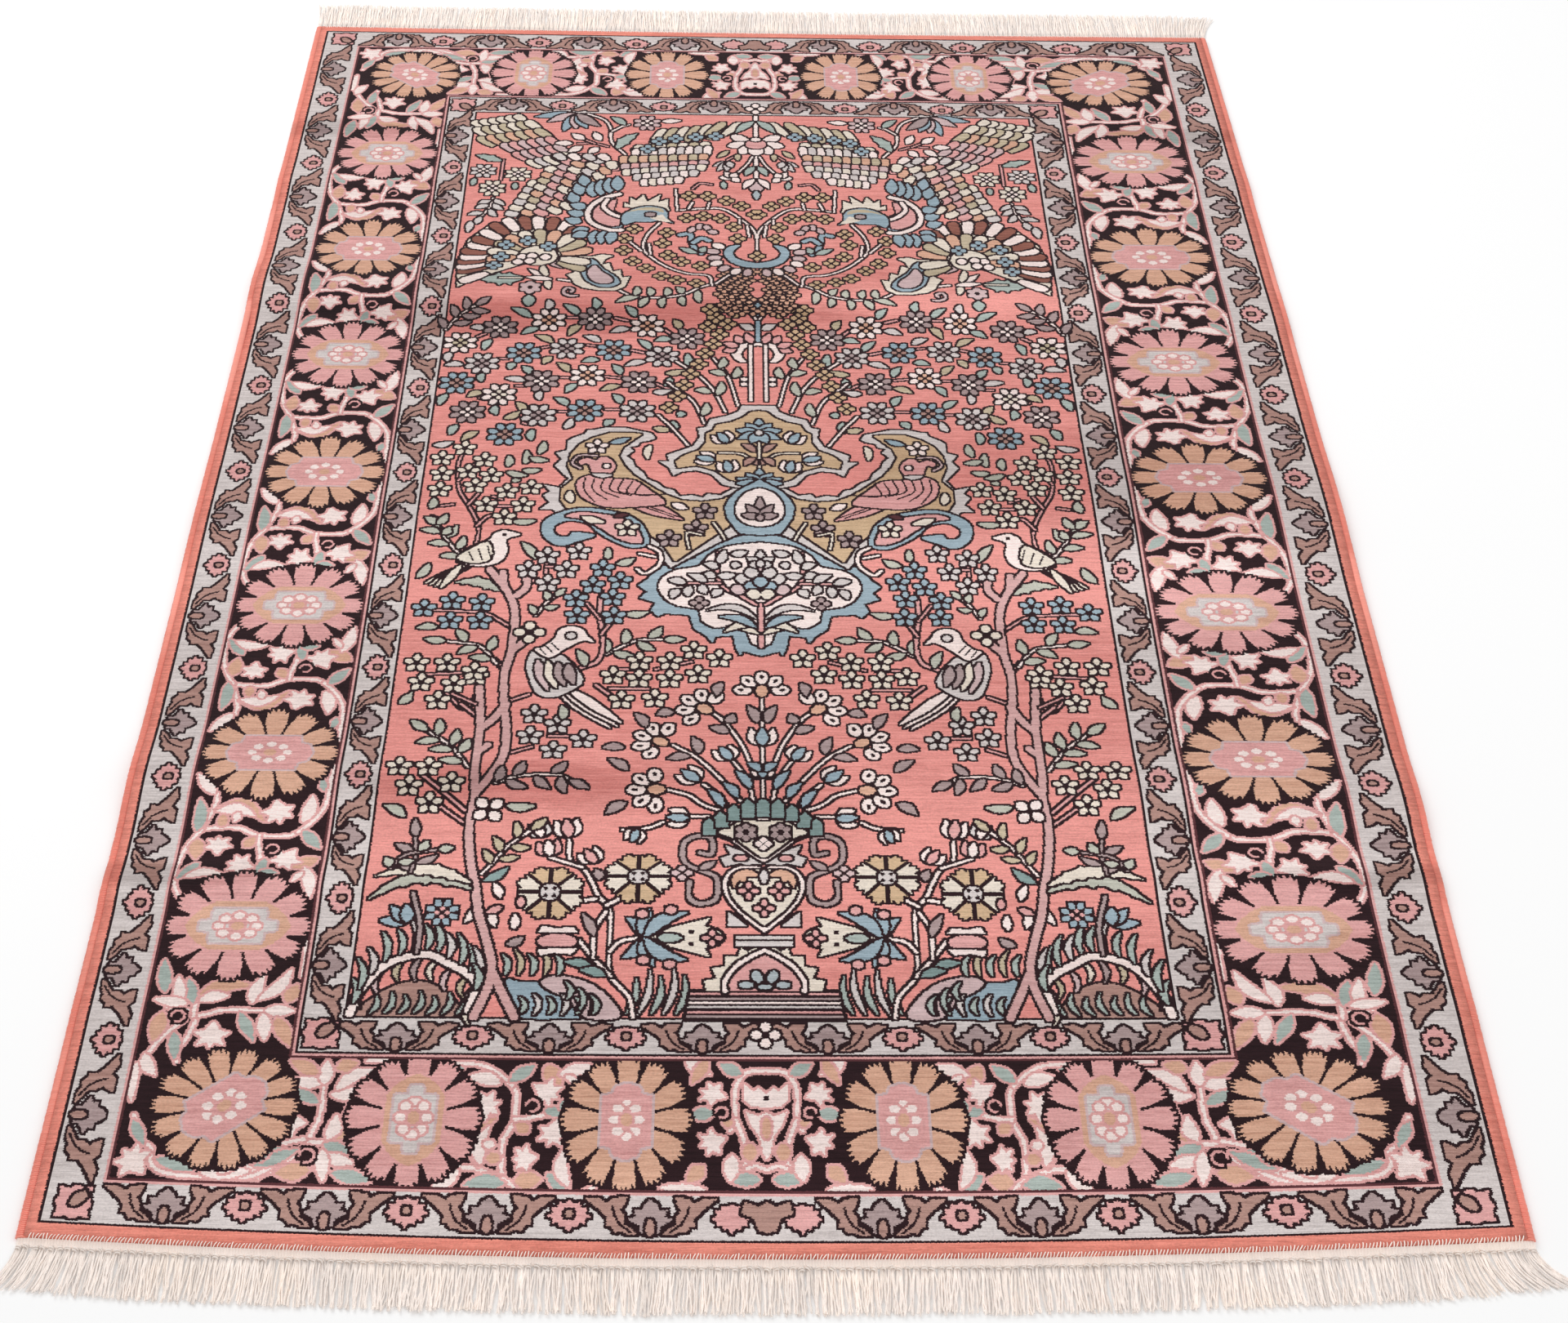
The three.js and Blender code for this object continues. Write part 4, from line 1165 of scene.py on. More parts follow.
def draw_pheasant():
    """The great bird: spread tail, outer wing, inner wing, back and breast, then collar, comb and head."""
    fill([152+563j, 154+590j, 150+610j, 140+624j, 124+631j, 108+631j, 94+622j, 90+610j, 96+600j, 122+587j,
        142+573j], "sand")
    tips = [151+568j, 153+578j, 154+583j, 154+589j, 153+594j, 153+600j, 150+606j, 148+612j, 144+619j,
        139+626j, 132+631j, 123+633j, 115+633j, 106+632j, 98+629j, 94+623j, 91+617j, 90+611j, 92+605j]
    root = 112+596j
    for k, tip in enumerate(tips):
        feather(tip + (root - tip) * 0.34, tip, 6.0, "rust" if k % 2 else "ivory")
    for k in range(12):
        way = 204 - 19.4 * k
        facing = turned(1.0, way)
        tip = root + facing.real * 27.5 + 1j * (facing.imag * 24.5)
        if k < 2:
            tip = root + (tip - root) * 0.95 - 4j
        feather(root + (tip - root) * 0.42, tip, 6.4, ("olive", "sand", "tan")[k % 3])
    spot(root + 1, 10, 9, "sand")
    for at in (130+606j, 119+610j, 108+605j, 132+595j, 135+586j):
        blossom(at, 4, 2.6, 1.7, 1.5, "blue")
    for at in (121+595j, 116+596j, 109+595j, 123+590j, 117+591j):
        spot(at, 2.6, 2.4, "ivory")
    feather_rows([
        (151+722j, 128+729j, 6, 5.5+6j, 5.2, ("sand",)),
        (147+712j, 119+720j, 7, 8+9j, 5.4, ("sand", "olive")),
        (143+702j, 112+711j, 7, 9.5+9.5j, 5.4, ("olive", "tan")),
        (131+696j, 107+703j, 6, 8+9j, 5.0, ("lilac", "pink")),
        (124+688j, 102+696j, 6, 8+8j, 4.6, ("pink", "lilac")),
        (116+680j, 98+688j, 5, 8+8j, 4.6, ("sand", "grey")),
    ])
    feather_rows([
        (64+694j, 56+694j, 2, 2+8j, 5, ("olive",)),
        (57+706j, 26+712j, 6, -7+16j, 5.6, ("sand", "olive")),
        (27+716j, 18+716j, 2, -10+14j, 5, ("olive", "sand")),
        (64+696j, 28+700j, 7, -0.5+9j, 5.4, ("sand", "olive")),
        (66+690j, 27+694j, 9, -1+11j, 4.4, ("ivory", "grey")),
        (72+686j, 29+689j, 9, -0.6+7.5j, 5.2, ("tan", "olive")),
        (76+678j, 29+683j, 10, -0.6+7j, 5.2, ("pink", "lilac")),
        (70+673j, 30+679j, 9, -0.6+6.6j, 5.0, ("sand", "grey")),
        (64+668j, 34+673j, 7, -0.6+6.6j, 5.0, ("grey", "ivory")),
        (60+663j, 42+666j, 5, -0.6+6.4j, 5.0, ("ivory", "sand")),
    ])
    for at in (59+701j, 53+709j, 44+712j, 33+714j, 22+715j):
        blossom(at, 4, 2.5, 1.7, 1.5, "blue")
    feather_rows([
        (126+634j, 116+662j, 6, 6+3j, 6.0, ("grey", "sand")),
        (118+634j, 108+676j, 8, 5+5j, 6.0, ("tan", "sand", "olive")),
        (111+634j, 99+684j, 9, 5+6j, 6.2, ("pink", "lilac")),
        (104+636j, 92+688j, 9, 5+6.5j, 6.2, ("sand", "tan", "pink")),
        (98+640j, 84+686j, 8, 4+7j, 6.2, ("sand", "grey")),
        (90+656j, 77+680j, 5, 2+8j, 6.0, ("sand", "tan")),
        (104+689j, 80+689j, 4, 5+6j, 5.2, ("grey", "ivory")),
    ])
    feather_rows([
        (96+646j, 91+662j, 3, 2+9j, 6.4, ("blue",)),
        (92+628j, 90+642j, 3, 7+2.5j, 6.6, ("blue",)),
        (88+622j, 88+618j, 2, 7-3j, 6.2, ("blue",)),
        (84+620j, 75+620j, 3, 1.5-10j, 6.0, ("blue",)),
        (87+652j, 74+658j, 4, 0.5+12j, 6.4, ("blue",)),
    ])
    collar = curve([73+655j, 80+652j, 86+646j, 89+638j, 88+630j, 84+625j, 77+621j, 71+621j])
    fill(np.append(collar, [70+634j, 77+640j, 80+647j]), "blue")
    fill(np.append(shrunk(collar, 78+636j, 0.74), [70+632j, 76+637j]), "pink")
    stroke(collar, 2.6, "ivory")
    stroke(curve([79+650j, 81+643j, 76+636j, 69+632j]), 2.2, "ivory")
    comb = [70+643j, 70+647j, 67+645j, 67+652j, 64+649j, 60+655j, 58+648j, 55+651j, 51+655j, 52+648j,
        47+651j, 47+644j, 46+640j, 58+642j]
    fill(comb, "sand")
    head = [70+636j, 65+641j, 58+644j, 50+642j, 47+637j, 47+632j, 44+628j, 50+631j, 56+629j, 64+629j,
        69+626j, 71+630j]
    blob(head, "blue")
    brow = [68+638j, 64+641j, 58+643j, 51+642j, 49+638j, 55+640j, 62+640j]
    blob(brow, "olive", None)
    cheek = [56+633j, 50+636j, 48+633j, 45+629j, 51+630j]
    blob(cheek, "sand", None)
    spot(56+636j, 2.6, 1.8, "mauve")


def draw_upper_corner():
    """The flowers and sprays in the top corner and round the upper wings."""
    stem([93+737j, 84+731j, 80+722j, 79+708j, 71+695j], 1.6)
    stem([79+719j, 74+724j, 70+726j], 1.4)
    for tip, colour in ((123+733j, "blue"), (115+728j, "lilac"), (106+718j, "blue"), (99+721j, "lilac"),
            (93+722j, "blue"), (86+724j, "mauve")):
        leaf(99+737j, tip, 6.0, 0.6, colour)
    leaf(72+726j, 80+734j, 4.4, 0.6, "sage")
    leaf(76+701j, 65+717j, 6.4, -1.4, "sage", 3)
    round_flower(60+728j, "lilac", "ivory", 0.9)
    leaf(52+730j, 41+731j, 3.8, 0, "ivory")
    stem([81+703j, 88+706j, 97+706j], 1.2, "pink")
    stem([88+706j, 94+710j], 1.2, "pink")
    leaves("ivory", 4.6, [(94+710j, 101+716j), (85+709j, 89+718j), (100+706j, 110+706j),
        (95+703j, 102+697j), (86+702j, 91+696j)], 0)
    for at in (147+676j, 128+673j, 141+659j):
        round_flower(at, "grey" if at.real > 145 else "sand", "ivory", 0.86)
    stem([137+688j, 137+680j, 137+667j], 1.8, "pink")
    leaf(138+687j, 152+693j, 5.6, 0, "sage", 3)
    leaves("sage", 3.2, [(151+668j, 152+661j), (129+664j, 129+658j)], 0)
    spray([140+650j, 141+642j, 145+632j], (0.0, 0.15, 0.35, 0.5, 0.75, 0.9), 8, 3.6, "grey")
    leaf(150+628j, 151+617j, 3.8, 0, "grey")
    stroke([736j, 711j], 2.2, "ivory")
    stroke([700j, 672j], 2.0, "ivory")
    leaf(1+731j, 11+719j, 5, 0.8, "sage")
    for tip in (13+716j, 15+705j, 8+697j, 696j):
        way = tip - (1.6+708j)
        fill(petal_shape(2+708j, math.degrees(np.angle(way)), abs(way), 6.4), "ivory")
    spot(707j, 5.6, 4.6, "pink")
    spot(712j, 2.6, 1.8, "ivory")
    stem([2+694j, 5+686j, 10+677j], 1.4)
    stem([16+690j, 11+695j, 10+690j], 1.0, "pink")
    for tip in (23+684j, 21+679j, 16+679j, 13+683j):
        leaf(15+689j, tip, 3.8, 0, "grey")
    leaves("olive", 3.2, [(15+700j, 21+693j), (10+697j, 10+690j)], 0)
    for tip in (20+672j, 17+678j, 11+677j, 9+668j):
        leaf(13+672j, tip, 4.0, 0, "ivory")
    leaf(1+684j, 6+674j, 4, 0.6, "sage")
    fill(petal_shape(671j, -90, 13, 7), "lilac")
    leaf(1+671j, 7+661j, 4, 0.8, "ivory")
    leaf(18+668j, 17+661j, 3, 0, "sage")
    stem([34+661j, 30+666j, 24+665j], 1.2, "pink")
    leaf(660j, 651j, 3.6, 0, "slate")


def draw_field():
    draw_ground()
    draw_shrubs()
    draw_trees()
    draw_stars()
    draw_bouquet()
    draw_vase()
    draw_birds()
    draw_round_flowers()
    draw_middle()
    draw_medallion()
    draw_lower_scroll()
    draw_scroll_bird()
    draw_heart_vine()
    draw_boteh()
    draw_pheasant()
    draw_upper_corner()


# Node trees, written as sums on sockets.


class Value:
    """A socket whose sums add Math nodes to its tree."""

    def __init__(self, graph, socket):
        self.graph, self.socket = graph, socket

    def math(self, operation, *others):
        return self.graph.maths(operation, self, *others)

    def out(self, name):
        return Value(self.graph, self.socket.node.outputs[name])

    def __add__(self, other):
        return self.math("ADD", other)

    __radd__ = __add__

    def __sub__(self, other):
        return self.math("SUBTRACT", other)

    def __rsub__(self, other):
        return self.graph.maths("SUBTRACT", other, self)

    def __mul__(self, other):
        return self.math("MULTIPLY", other)

    __rmul__ = __mul__

    def __truediv__(self, other):
        return self.math("DIVIDE", other)

    def __mod__(self, other):
        return self.math("FLOORED_MODULO", other)

    def __gt__(self, other):
        return self.math("GREATER_THAN", other)

    def floor(self):
        return self.math("FLOOR")

    def fraction(self):
        return self.math("FRACT")

    def least(self, other):
        return self.math("MINIMUM", other)

    def most(self, other):
        return self.math("MAXIMUM", other)


class Graph:
    """A shader or geometry tree that is filled node by node."""

    def __init__(self, tree):
        self.tree = tree

    def node(self, kind, settings=None, inputs=None, output=0):
        """Adds a node: its settings first, then values or links for its sockets."""
        node = self.tree.nodes.new(kind)
        for name, value in (settings or {}).items():
            if name == "stops":
                ramp = node.color_ramp
                while len(ramp.elements) < len(value):
                    ramp.elements.new(1.0)
                for stop, (place, colour) in zip(ramp.elements, value):
                    stop.position = place
                    stop.color = (*colour, 1.0)
            elif name == "spread":
                node.color_ramp.interpolation = value
            else:
                setattr(node, name, value)
        for name, value in (inputs or {}).items():
            socket = node.inputs[name]
            if isinstance(value, Value):
                self.tree.links.new(value.socket, socket)
            else:
                socket.default_value = value
        return Value(self, node.outputs[output]) if node.outputs else node

    def maths(self, operation, *values):
        return self.node("ShaderNodeMath", {"operation": operation}, dict(enumerate(values)))

    def attribute(self, name):
        return self.node("ShaderNodeAttribute", {"attribute_name": name}, output="Fac")

    def noise(self, place, scale, detail):
        return self.node("ShaderNodeTexNoise", {}, {"Vector": place, "Scale": scale, "Detail": detail})

    def parts(self, vector):
        split = self.node("ShaderNodeSeparateXYZ", {}, {0: vector})
        return split, split.out("Y"), split.out("Z")

    def vector(self, x, y, z):
        return self.node("ShaderNodeCombineXYZ", {}, {0: x, 1: y, 2: z})

    def vectors(self, operation, first, second):
        return self.node("ShaderNodeVectorMath", {"operation": operation}, {0: first, 1: second})

    def blend(self, factor, first, second):
        """Two colours mixed: they are the Mix node's sockets 6 and 7, and its third output."""
        return self.node("ShaderNodeMix", {"data_type": "RGBA"}, {0: factor, 6: first, 7: second}, 2)

    def eased(self, value, low, high, start, end):
        """Runs smoothly from start to end as the value goes from low to high."""
        settings = {"interpolation_type": "SMOOTHSTEP"}
        return self.node("ShaderNodeMapRange", settings, {0: value, 1: low, 2: high, 3: start, 4: end})

    def object_place(self):
        return self.node("ShaderNodeTexCoord", output="Object")


def linear(colour):
    """A display colour as the light values that shaders take."""
    return tuple(c / 12.92 if c <= 0.04045 else ((c + 0.055) / 1.055) ** 2.4 for c in colour)


def fresh_material(name):
    material = bpy.data.materials.new(name)
    material.use_nodes = True
    material.node_tree.nodes.clear()
    return material, Graph(material.node_tree)


def finish_material(graph, colour, height, **constants):
    """Closes a material: its colour and height vary, and the shader's other sockets take constants."""
    bump = graph.node("ShaderNodeBump", {}, {"Height": height, "Strength": constants.pop("strength", 0.6),
        "Distance": constants.pop("depth", 0.6 * MM)})
    inputs = {"Base Color": colour, "Normal": bump}
    inputs.update({name.replace("_", " "): value for name, value in constants.items()})
    shader = graph.node("ShaderNodeBsdfPrincipled", {}, inputs)
    graph.node("ShaderNodeOutputMaterial", {}, {"Surface": shader})


# Painted shade and painted highlight bands, where the folds and the pile's nap catch the light: their
# place from the pile's middle and how far they reach across and along, in millimetres, and how much darker
# (or brighter) the yarn is painted there.
PAINTED_SHADE_BANDS = [
    dict(x=-170, y=232, wide=260, deep=26, dark=0.24),
    dict(x=-60, y=292, wide=420, deep=30, dark=0.09),
    dict(x=190, y=262, wide=170, deep=34, dark=-0.16),
    dict(x=-190, y=-372, wide=130, deep=26, dark=0.22),
    dict(x=30, y=-364, wide=430, deep=18, dark=0.04),
    dict(x=0, y=-440, wide=560, deep=100, dark=-0.13),
    dict(x=-440, y=-464, wide=120, deep=12, dark=0.20),
    dict(x=440, y=-462, wide=120, deep=12, dark=0.20),
    dict(x=260, y=6, wide=220, deep=60, dark=0.12),
    dict(x=0, y=-130, wide=620, deep=70, dark=-0.10),
    dict(x=260, y=-130, wide=160, deep=60, dark=-0.10),
    dict(x=0, y=-745, wide=900, deep=34, dark=-0.12),
    dict(x=0, y=-400, wide=60, deep=60, dark=0.16),
    dict(x=-430, y=560, wide=120, deep=16, dark=0.16),
    dict(x=430, y=566, wide=120, deep=16, dark=0.16),
]


def painted_shade_and_highlight(graph, place):
    """How dark the painted shade bands, or how bright the painted highlight bands, make the yarn, as a
    factor round 1.
    """
    x, y, _ = graph.parts(place)
    drift = graph.noise(place, 9.0, 3.0) - 0.5
    shade = None
    for band in PAINTED_SHADE_BANDS:
        off_x = (x - (MIDDLE_X + band["x"] * MM)) / (band["wide"] * MM)
        off_y = (y - (MIDDLE_Y + band["y"] * MM) + drift * 0.05) / (band["deep"] * MM)
        near = graph.eased(off_x * off_x + off_y * off_y, 0.0, 1.6, band["dark"], 0.0)
        shade = near if shade is None else shade + near
    return 1.0 - shade


def knot_code(graph):
    """Reads the palette number of the knot under a point, and the point's place on its knot."""
    u, v, _ = graph.parts(graph.node("ShaderNodeUVMap", {"uv_map": "Knots"}))
    place = graph.object_place()
    x, y, _ = graph.parts(place)
    fray_across = graph.noise(graph.vector(x * 260.0, y * 1080.0, 0.0), 1.0, 1.0) - 0.5
    fray_along = graph.noise(graph.vector(x * 1090.0, y * 260.0, 4.0), 1.0, 1.0) - 0.5
    column, row = u * PATCH + fray_across * 3.0, v * PATCH + fray_along * 2.0
    column_number = column.floor().most(0).least(PATCH - 1)
    row_number = row.floor().most(0).least(PATCH - 1)
    halves = []
    for half in range(PATCH // PACK):
        packed = graph.attribute(f"knots_{half}")
        for k in range(1, PATCH):
            above = row_number > (k - 0.5)
            packed = packed + above * (graph.attribute(f"knots_{k * PATCH // PACK + half}") - packed)
        halves.append(packed)
    right = column_number > (PACK - 0.5)
    packed = halves[0] + right * (halves[1] - halves[0])
    place_in_pack = column_number - right * PACK
    share = 1.0
    for k in range(1, PACK):
        share = share - (place_in_pack > (k - 0.5)) * (CODE_BASE ** (1 - k) - CODE_BASE**-k)
    code = (packed * share).floor() % CODE_BASE
    return place, code, column.fraction(), row.fraction()


def dyed(graph, code, dyes):
    """The dyed yarn's colour for a palette number."""
    stops = [(number / CODE_BASE, linear(dyes[name])) for name, number in YARN_NUMBER.items()]
    return graph.node("ShaderNodeValToRGB", {"spread": "CONSTANT", "stops": stops},
        {"Fac": (code + 0.5) / CODE_BASE})


def scaled(graph, colour, factor):
    """A colour made lighter or darker by a number that varies."""
    return graph.node("ShaderNodeVectorMath", {"operation": "SCALE"}, {0: colour, "Scale": factor})


def pile_material(dyes):
    """Cut pile seen from above: dyed knots in rows, with streaks of dye, painted shade in the grooves
    between knots, and painted shade and highlight bands at the folds.
    """
    material, graph = fresh_material("silk_pile")
    place, code, across, along = knot_code(graph)
    colour = dyed(graph, code, dyes)
    x, y, z = graph.parts(place)
    streaks = graph.noise(graph.vector(x * 14.0, y * 420.0, z), 1.0, 3.0)
    weft_streaks = graph.noise(graph.vector(x * 90.0, y * 1100.0, z), 1.0, 2.0)
    cloud = graph.noise(place, 26.0, 4.0)
    speck = graph.noise(place, 640.0, 2.0)
    # Valley and seam darken the tone as painted shade in the grooves between knots and rows; they also
    # shape the bump.
    valley = (along - 0.5) * (along - 0.5) * 4.0
    seam = (across - 0.5) * (across - 0.5) * 4.0
    # Painted shade and painted highlight: bands where the folds and the pile's nap catch the light.
    shade = painted_shade_and_highlight(graph, place)
    tone = 1.05 + (streaks - 0.5) * 0.42 + (weft_streaks - 0.5) * 0.55 + (cloud - 0.5) * 0.24
    tone = (tone + (speck - 0.5) * 0.45 - valley * 0.10 - seam * 0.04) * shade
    deep = graph.vectors("MULTIPLY", colour, colour)
    # The deeper, darker colour is mixed in partly by the dye streaks and partly by the painted shade
    # bands.
    depth = 0.12 + (1.0 - shade) * 1.1 + (0.5 - streaks) * 0.7 + (0.5 - weft_streaks) * 0.5
    deepened_by_dye_and_shade = graph.blend(depth.most(0.0).least(0.8), colour, deep)
    height = 1.0 - valley * 0.7 - seam * 0.35 + speck * 0.8 + streaks * 0.5
    finish_material(graph, scaled(graph, deepened_by_dye_and_shade, tone), height, strength=0.5, depth=0.7 * MM, Roughness=0.8,
        Sheen_Weight=0.05, Sheen_Roughness=0.4, Specular_IOR_Level=0.1)
    return material


def back_material(dyes):
    """The woven back: the same knots, flatter and paler, between cotton wefts."""
    material, graph = fresh_material("knotted_back")
    place, code, across, along = knot_code(graph)
    colour = dyed(graph, code, dyes)
    node = ((across * 2.0).fraction() - 0.5) * 2.0
    weft = (along - 0.5) * 2.0
    ridge = 1.0 - node * node * 0.8 - weft * weft * 0.7
    cotton = graph.eased(weft * weft, 0.55, 0.95, 0.0, 0.5)
    speck = graph.noise(place, 700.0, 2.0)
    cloud = graph.noise(place, 12.0, 3.0)
    duller = graph.blend(0.16, colour, (*linear((0.80, 0.76, 0.70)), 1.0))
    woven = graph.blend(cotton, duller, (*linear((0.86, 0.82, 0.75)), 1.0))
    # The ridge term in the tone is painted shade in the grooves between knots and along the wefts.
    tone = 0.82 + ridge * 0.14 + (speck - 0.5) * 0.3 + (cloud - 0.5) * 0.16
    finish_material(graph, scaled(graph, woven, tone), ridge + speck * 0.3, strength=0.6, depth=0.5 * MM,
        Roughness=0.85, Sheen_Weight=0.1, Specular_IOR_Level=0.25)
    return material


def yarn_material(name, colour, variation, twist=900.0, loose=False):
    """A plied yarn: fine twist lines, a little fuzz, uneven colour and a faint painted glow that lifts its
    shadows;
    loose ones get painted shade at their roots and where they lie under the others."""
    material, graph = fresh_material(name)
    place = graph.object_place()
    x, y, z = graph.parts(place)
    ply = graph.noise(graph.vector(x * twist, y * twist * 0.35, z * twist), 1.0, 2.0)
    soil = graph.noise(place, 22.0, 3.0)
    fuzz = graph.noise(place, 2600.0, 1.0)
    per_yarn = graph.noise(graph.vector(x * 210.0, y * 6.0, 0.0), 1.0, 1.0)
    tone = 1.0 + (ply - 0.5) * variation + (soil - 0.5) * variation * 0.7 + (per_yarn - 0.5) * variation
    tone = tone + (fuzz - 0.5) * 0.10
    # Painted shade: darker at the roots and on the yarns that lie under the others.
    if loose:
        tone = tone * graph.eased(graph.attribute("share"), 0.0, 0.22, 0.74, 1.0)
        tone = tone * graph.eased(graph.attribute("stack"), 0.1, 0.8, 0.84, 1.0)
    warm = graph.blend(graph.eased(soil, 0.4, 0.8, 0.0, 0.25), (*linear(colour), 1.0),
        (*linear(tuple(c * s for c, s in zip(colour, (0.97, 0.92, 0.84)))), 1.0))
    # The emission is a painted glow that lifts the yarn's shadows.
    finish_material(graph, scaled(graph, warm, tone), ply + fuzz * 0.4, strength=0.5, depth=0.3 * MM,
        Roughness=0.85, Sheen_Weight=0.15, Specular_IOR_Level=0.25, Emission_Color=(*linear(colour), 1.0),
        Emission_Strength=0.10)
    return material


def wrap_material(dyes):
    """The coral wool that is wound round the side cords, with the pile's painted shade and highlight
    bands.
    """
    material, graph = fresh_material("overcast_wool")
    place = graph.object_place()
    x, y, z = graph.parts(place)
    turn = graph.noise(graph.vector(x * 40.0, y * 640.0, z * 40.0), 1.0, 2.0)
    dye = graph.noise(graph.vector(x * 6.0, y * 16.0, 0.0), 1.0, 4.0)
    fuzz = graph.noise(place, 2400.0, 1.0)
    tone = 1.06 + (turn - 0.5) * 0.34 + (dye - 0.5) * 0.30 + (fuzz - 0.5) * 0.14
    # Painted shade and painted highlight: the pile's bands at the folds.
    tone = tone * painted_shade_and_highlight(graph, place)
    finish_material(graph, scaled(graph, linear(dyes["edge"]), tone), turn + fuzz * 0.5, strength=0.5,
        depth=0.3 * MM, Roughness=0.8, Sheen_Weight=0.25, Specular_IOR_Level=0.3)
    return material


def floor_material(colour):
    material, graph = fresh_material("pale_floor")
    grain = graph.noise(graph.object_place(), 3.0, 3.0)
    shade = graph.blend((grain - 0.5) * 0.04 + 0.02, (*linear(colour), 1.0), (0.8, 0.8, 0.8, 1.0))
    shader = graph.node("ShaderNodeBsdfPrincipled", {}, {"Base Color": shade, "Roughness": 0.9,
        "Specular IOR Level": 0.1})
    graph.node("ShaderNodeOutputMaterial", {}, {"Surface": shader})
    return material


# The rug's own forms, worked out as the solids' forms are.


def hump(distance, reach):
    near = np.clip(np.abs(distance) / reach, 0.0, 1.0)
    return 0.5 * (1.0 + np.cos(math.pi * near))


def lift(x, y):
    """How far the folds hold the rug off the floor at a place measured from its middle."""
    across = x / PILE_HALF
    height = 0.0
    for fold in FOLDS:
        edge = np.where(across < 0, fold["left"], fold["right"])
        share = fold["middle"] + (edge - fold["middle"]) * np.minimum(1.0, np.abs(across))
        crest = (fold["at"] + 0.5 * fold["slant"] * across) * MM
        height = height + fold["height"] * MM * share * hump(y - crest, fold["reach"] * MM)
    return height


def bowed(x, y):
    """Where the row that would lie at y runs, because the ends bow."""
    inside = 1.0 - np.minimum(1.0, (x / PILE_HALF) ** 2)
    near = -NEAR_BOW * np.exp(-(y + PILE_HALF_LENGTH) / NEAR_BOW_REACH)
    far = FAR_BOW * np.exp(-(PILE_HALF_LENGTH - y) / FAR_BOW_REACH)
    return y + inside * (near + far)


def aside(across, along):
    """How far the rug lies to the side of its even shape, at a share across and a share along it."""
    shares, shifts = zip(*ASIDE)
    border = np.clip((np.abs(across) - 0.72) / 0.15, 0.0, 1.0)
    factor = 1.0 + 0.2 * along * (1.0 - border) - (0.55 * along * along + 0.2 * along) * border
    return np.interp(across, shares, shifts) * factor * MM


def onward(across, along):
    """How far toward the far end the knots lie from their even place, at the same shares."""
    shares, shifts = zip(*ONWARD)
    return np.interp(along, shares, shifts) * (1.0 + 0.3 * across) * MM


def mesh_object(name, vertices, faces, smooth=True):
    mesh = bpy.data.meshes.new(name)
    mesh.from_pydata(np.asarray(vertices).tolist(), [], np.asarray(faces).tolist())
    if smooth:
        mesh.shade_smooth()
    piece = bpy.data.objects.new(name, mesh)
    bpy.context.scene.collection.objects.link(piece)
    return piece


def closed_faces(rows, columns):
    """The faces of a closed sheet with rows and columns of points on its top and then on its
    underside: the faces of one side, those round the rim, and all of them together."""
    count = rows * columns
    number = np.arange(count).reshape(rows, columns)
    corners = np.stack([number[:-1, :-1], number[:-1, 1:], number[1:, 1:], number[1:, :-1]], axis=-1)
    corners = corners.reshape(-1, 4)
    loop = np.concatenate([number[0, :-1], number[:-1, -1], number[-1, :0:-1], number[:0:-1, 0]])
    after = np.roll(loop, -1)
    sides = np.stack([loop + count, after + count, after, loop], axis=-1)
    return corners, sides, np.concatenate([corners, corners[:, ::-1] + count, sides])


def packed_rows():
    """The whole chart's palette numbers, four knots to a number: each face of the sheet has two such
    numbers for each row of its knots."""
    whole = np.concatenate([KNOTS[:, ::-1], KNOTS], axis=1).astype(np.int64)
    patches = whole.reshape(ROWS * FINE // PATCH, PATCH, COLUMNS * FINE // PATCH, PATCH // PACK, PACK)
    weights = CODE_BASE ** np.arange(PACK)
    return (patches * weights).sum(axis=4).transpose(1, 3, 0, 2).reshape(PATCH * PATCH // PACK, -1)


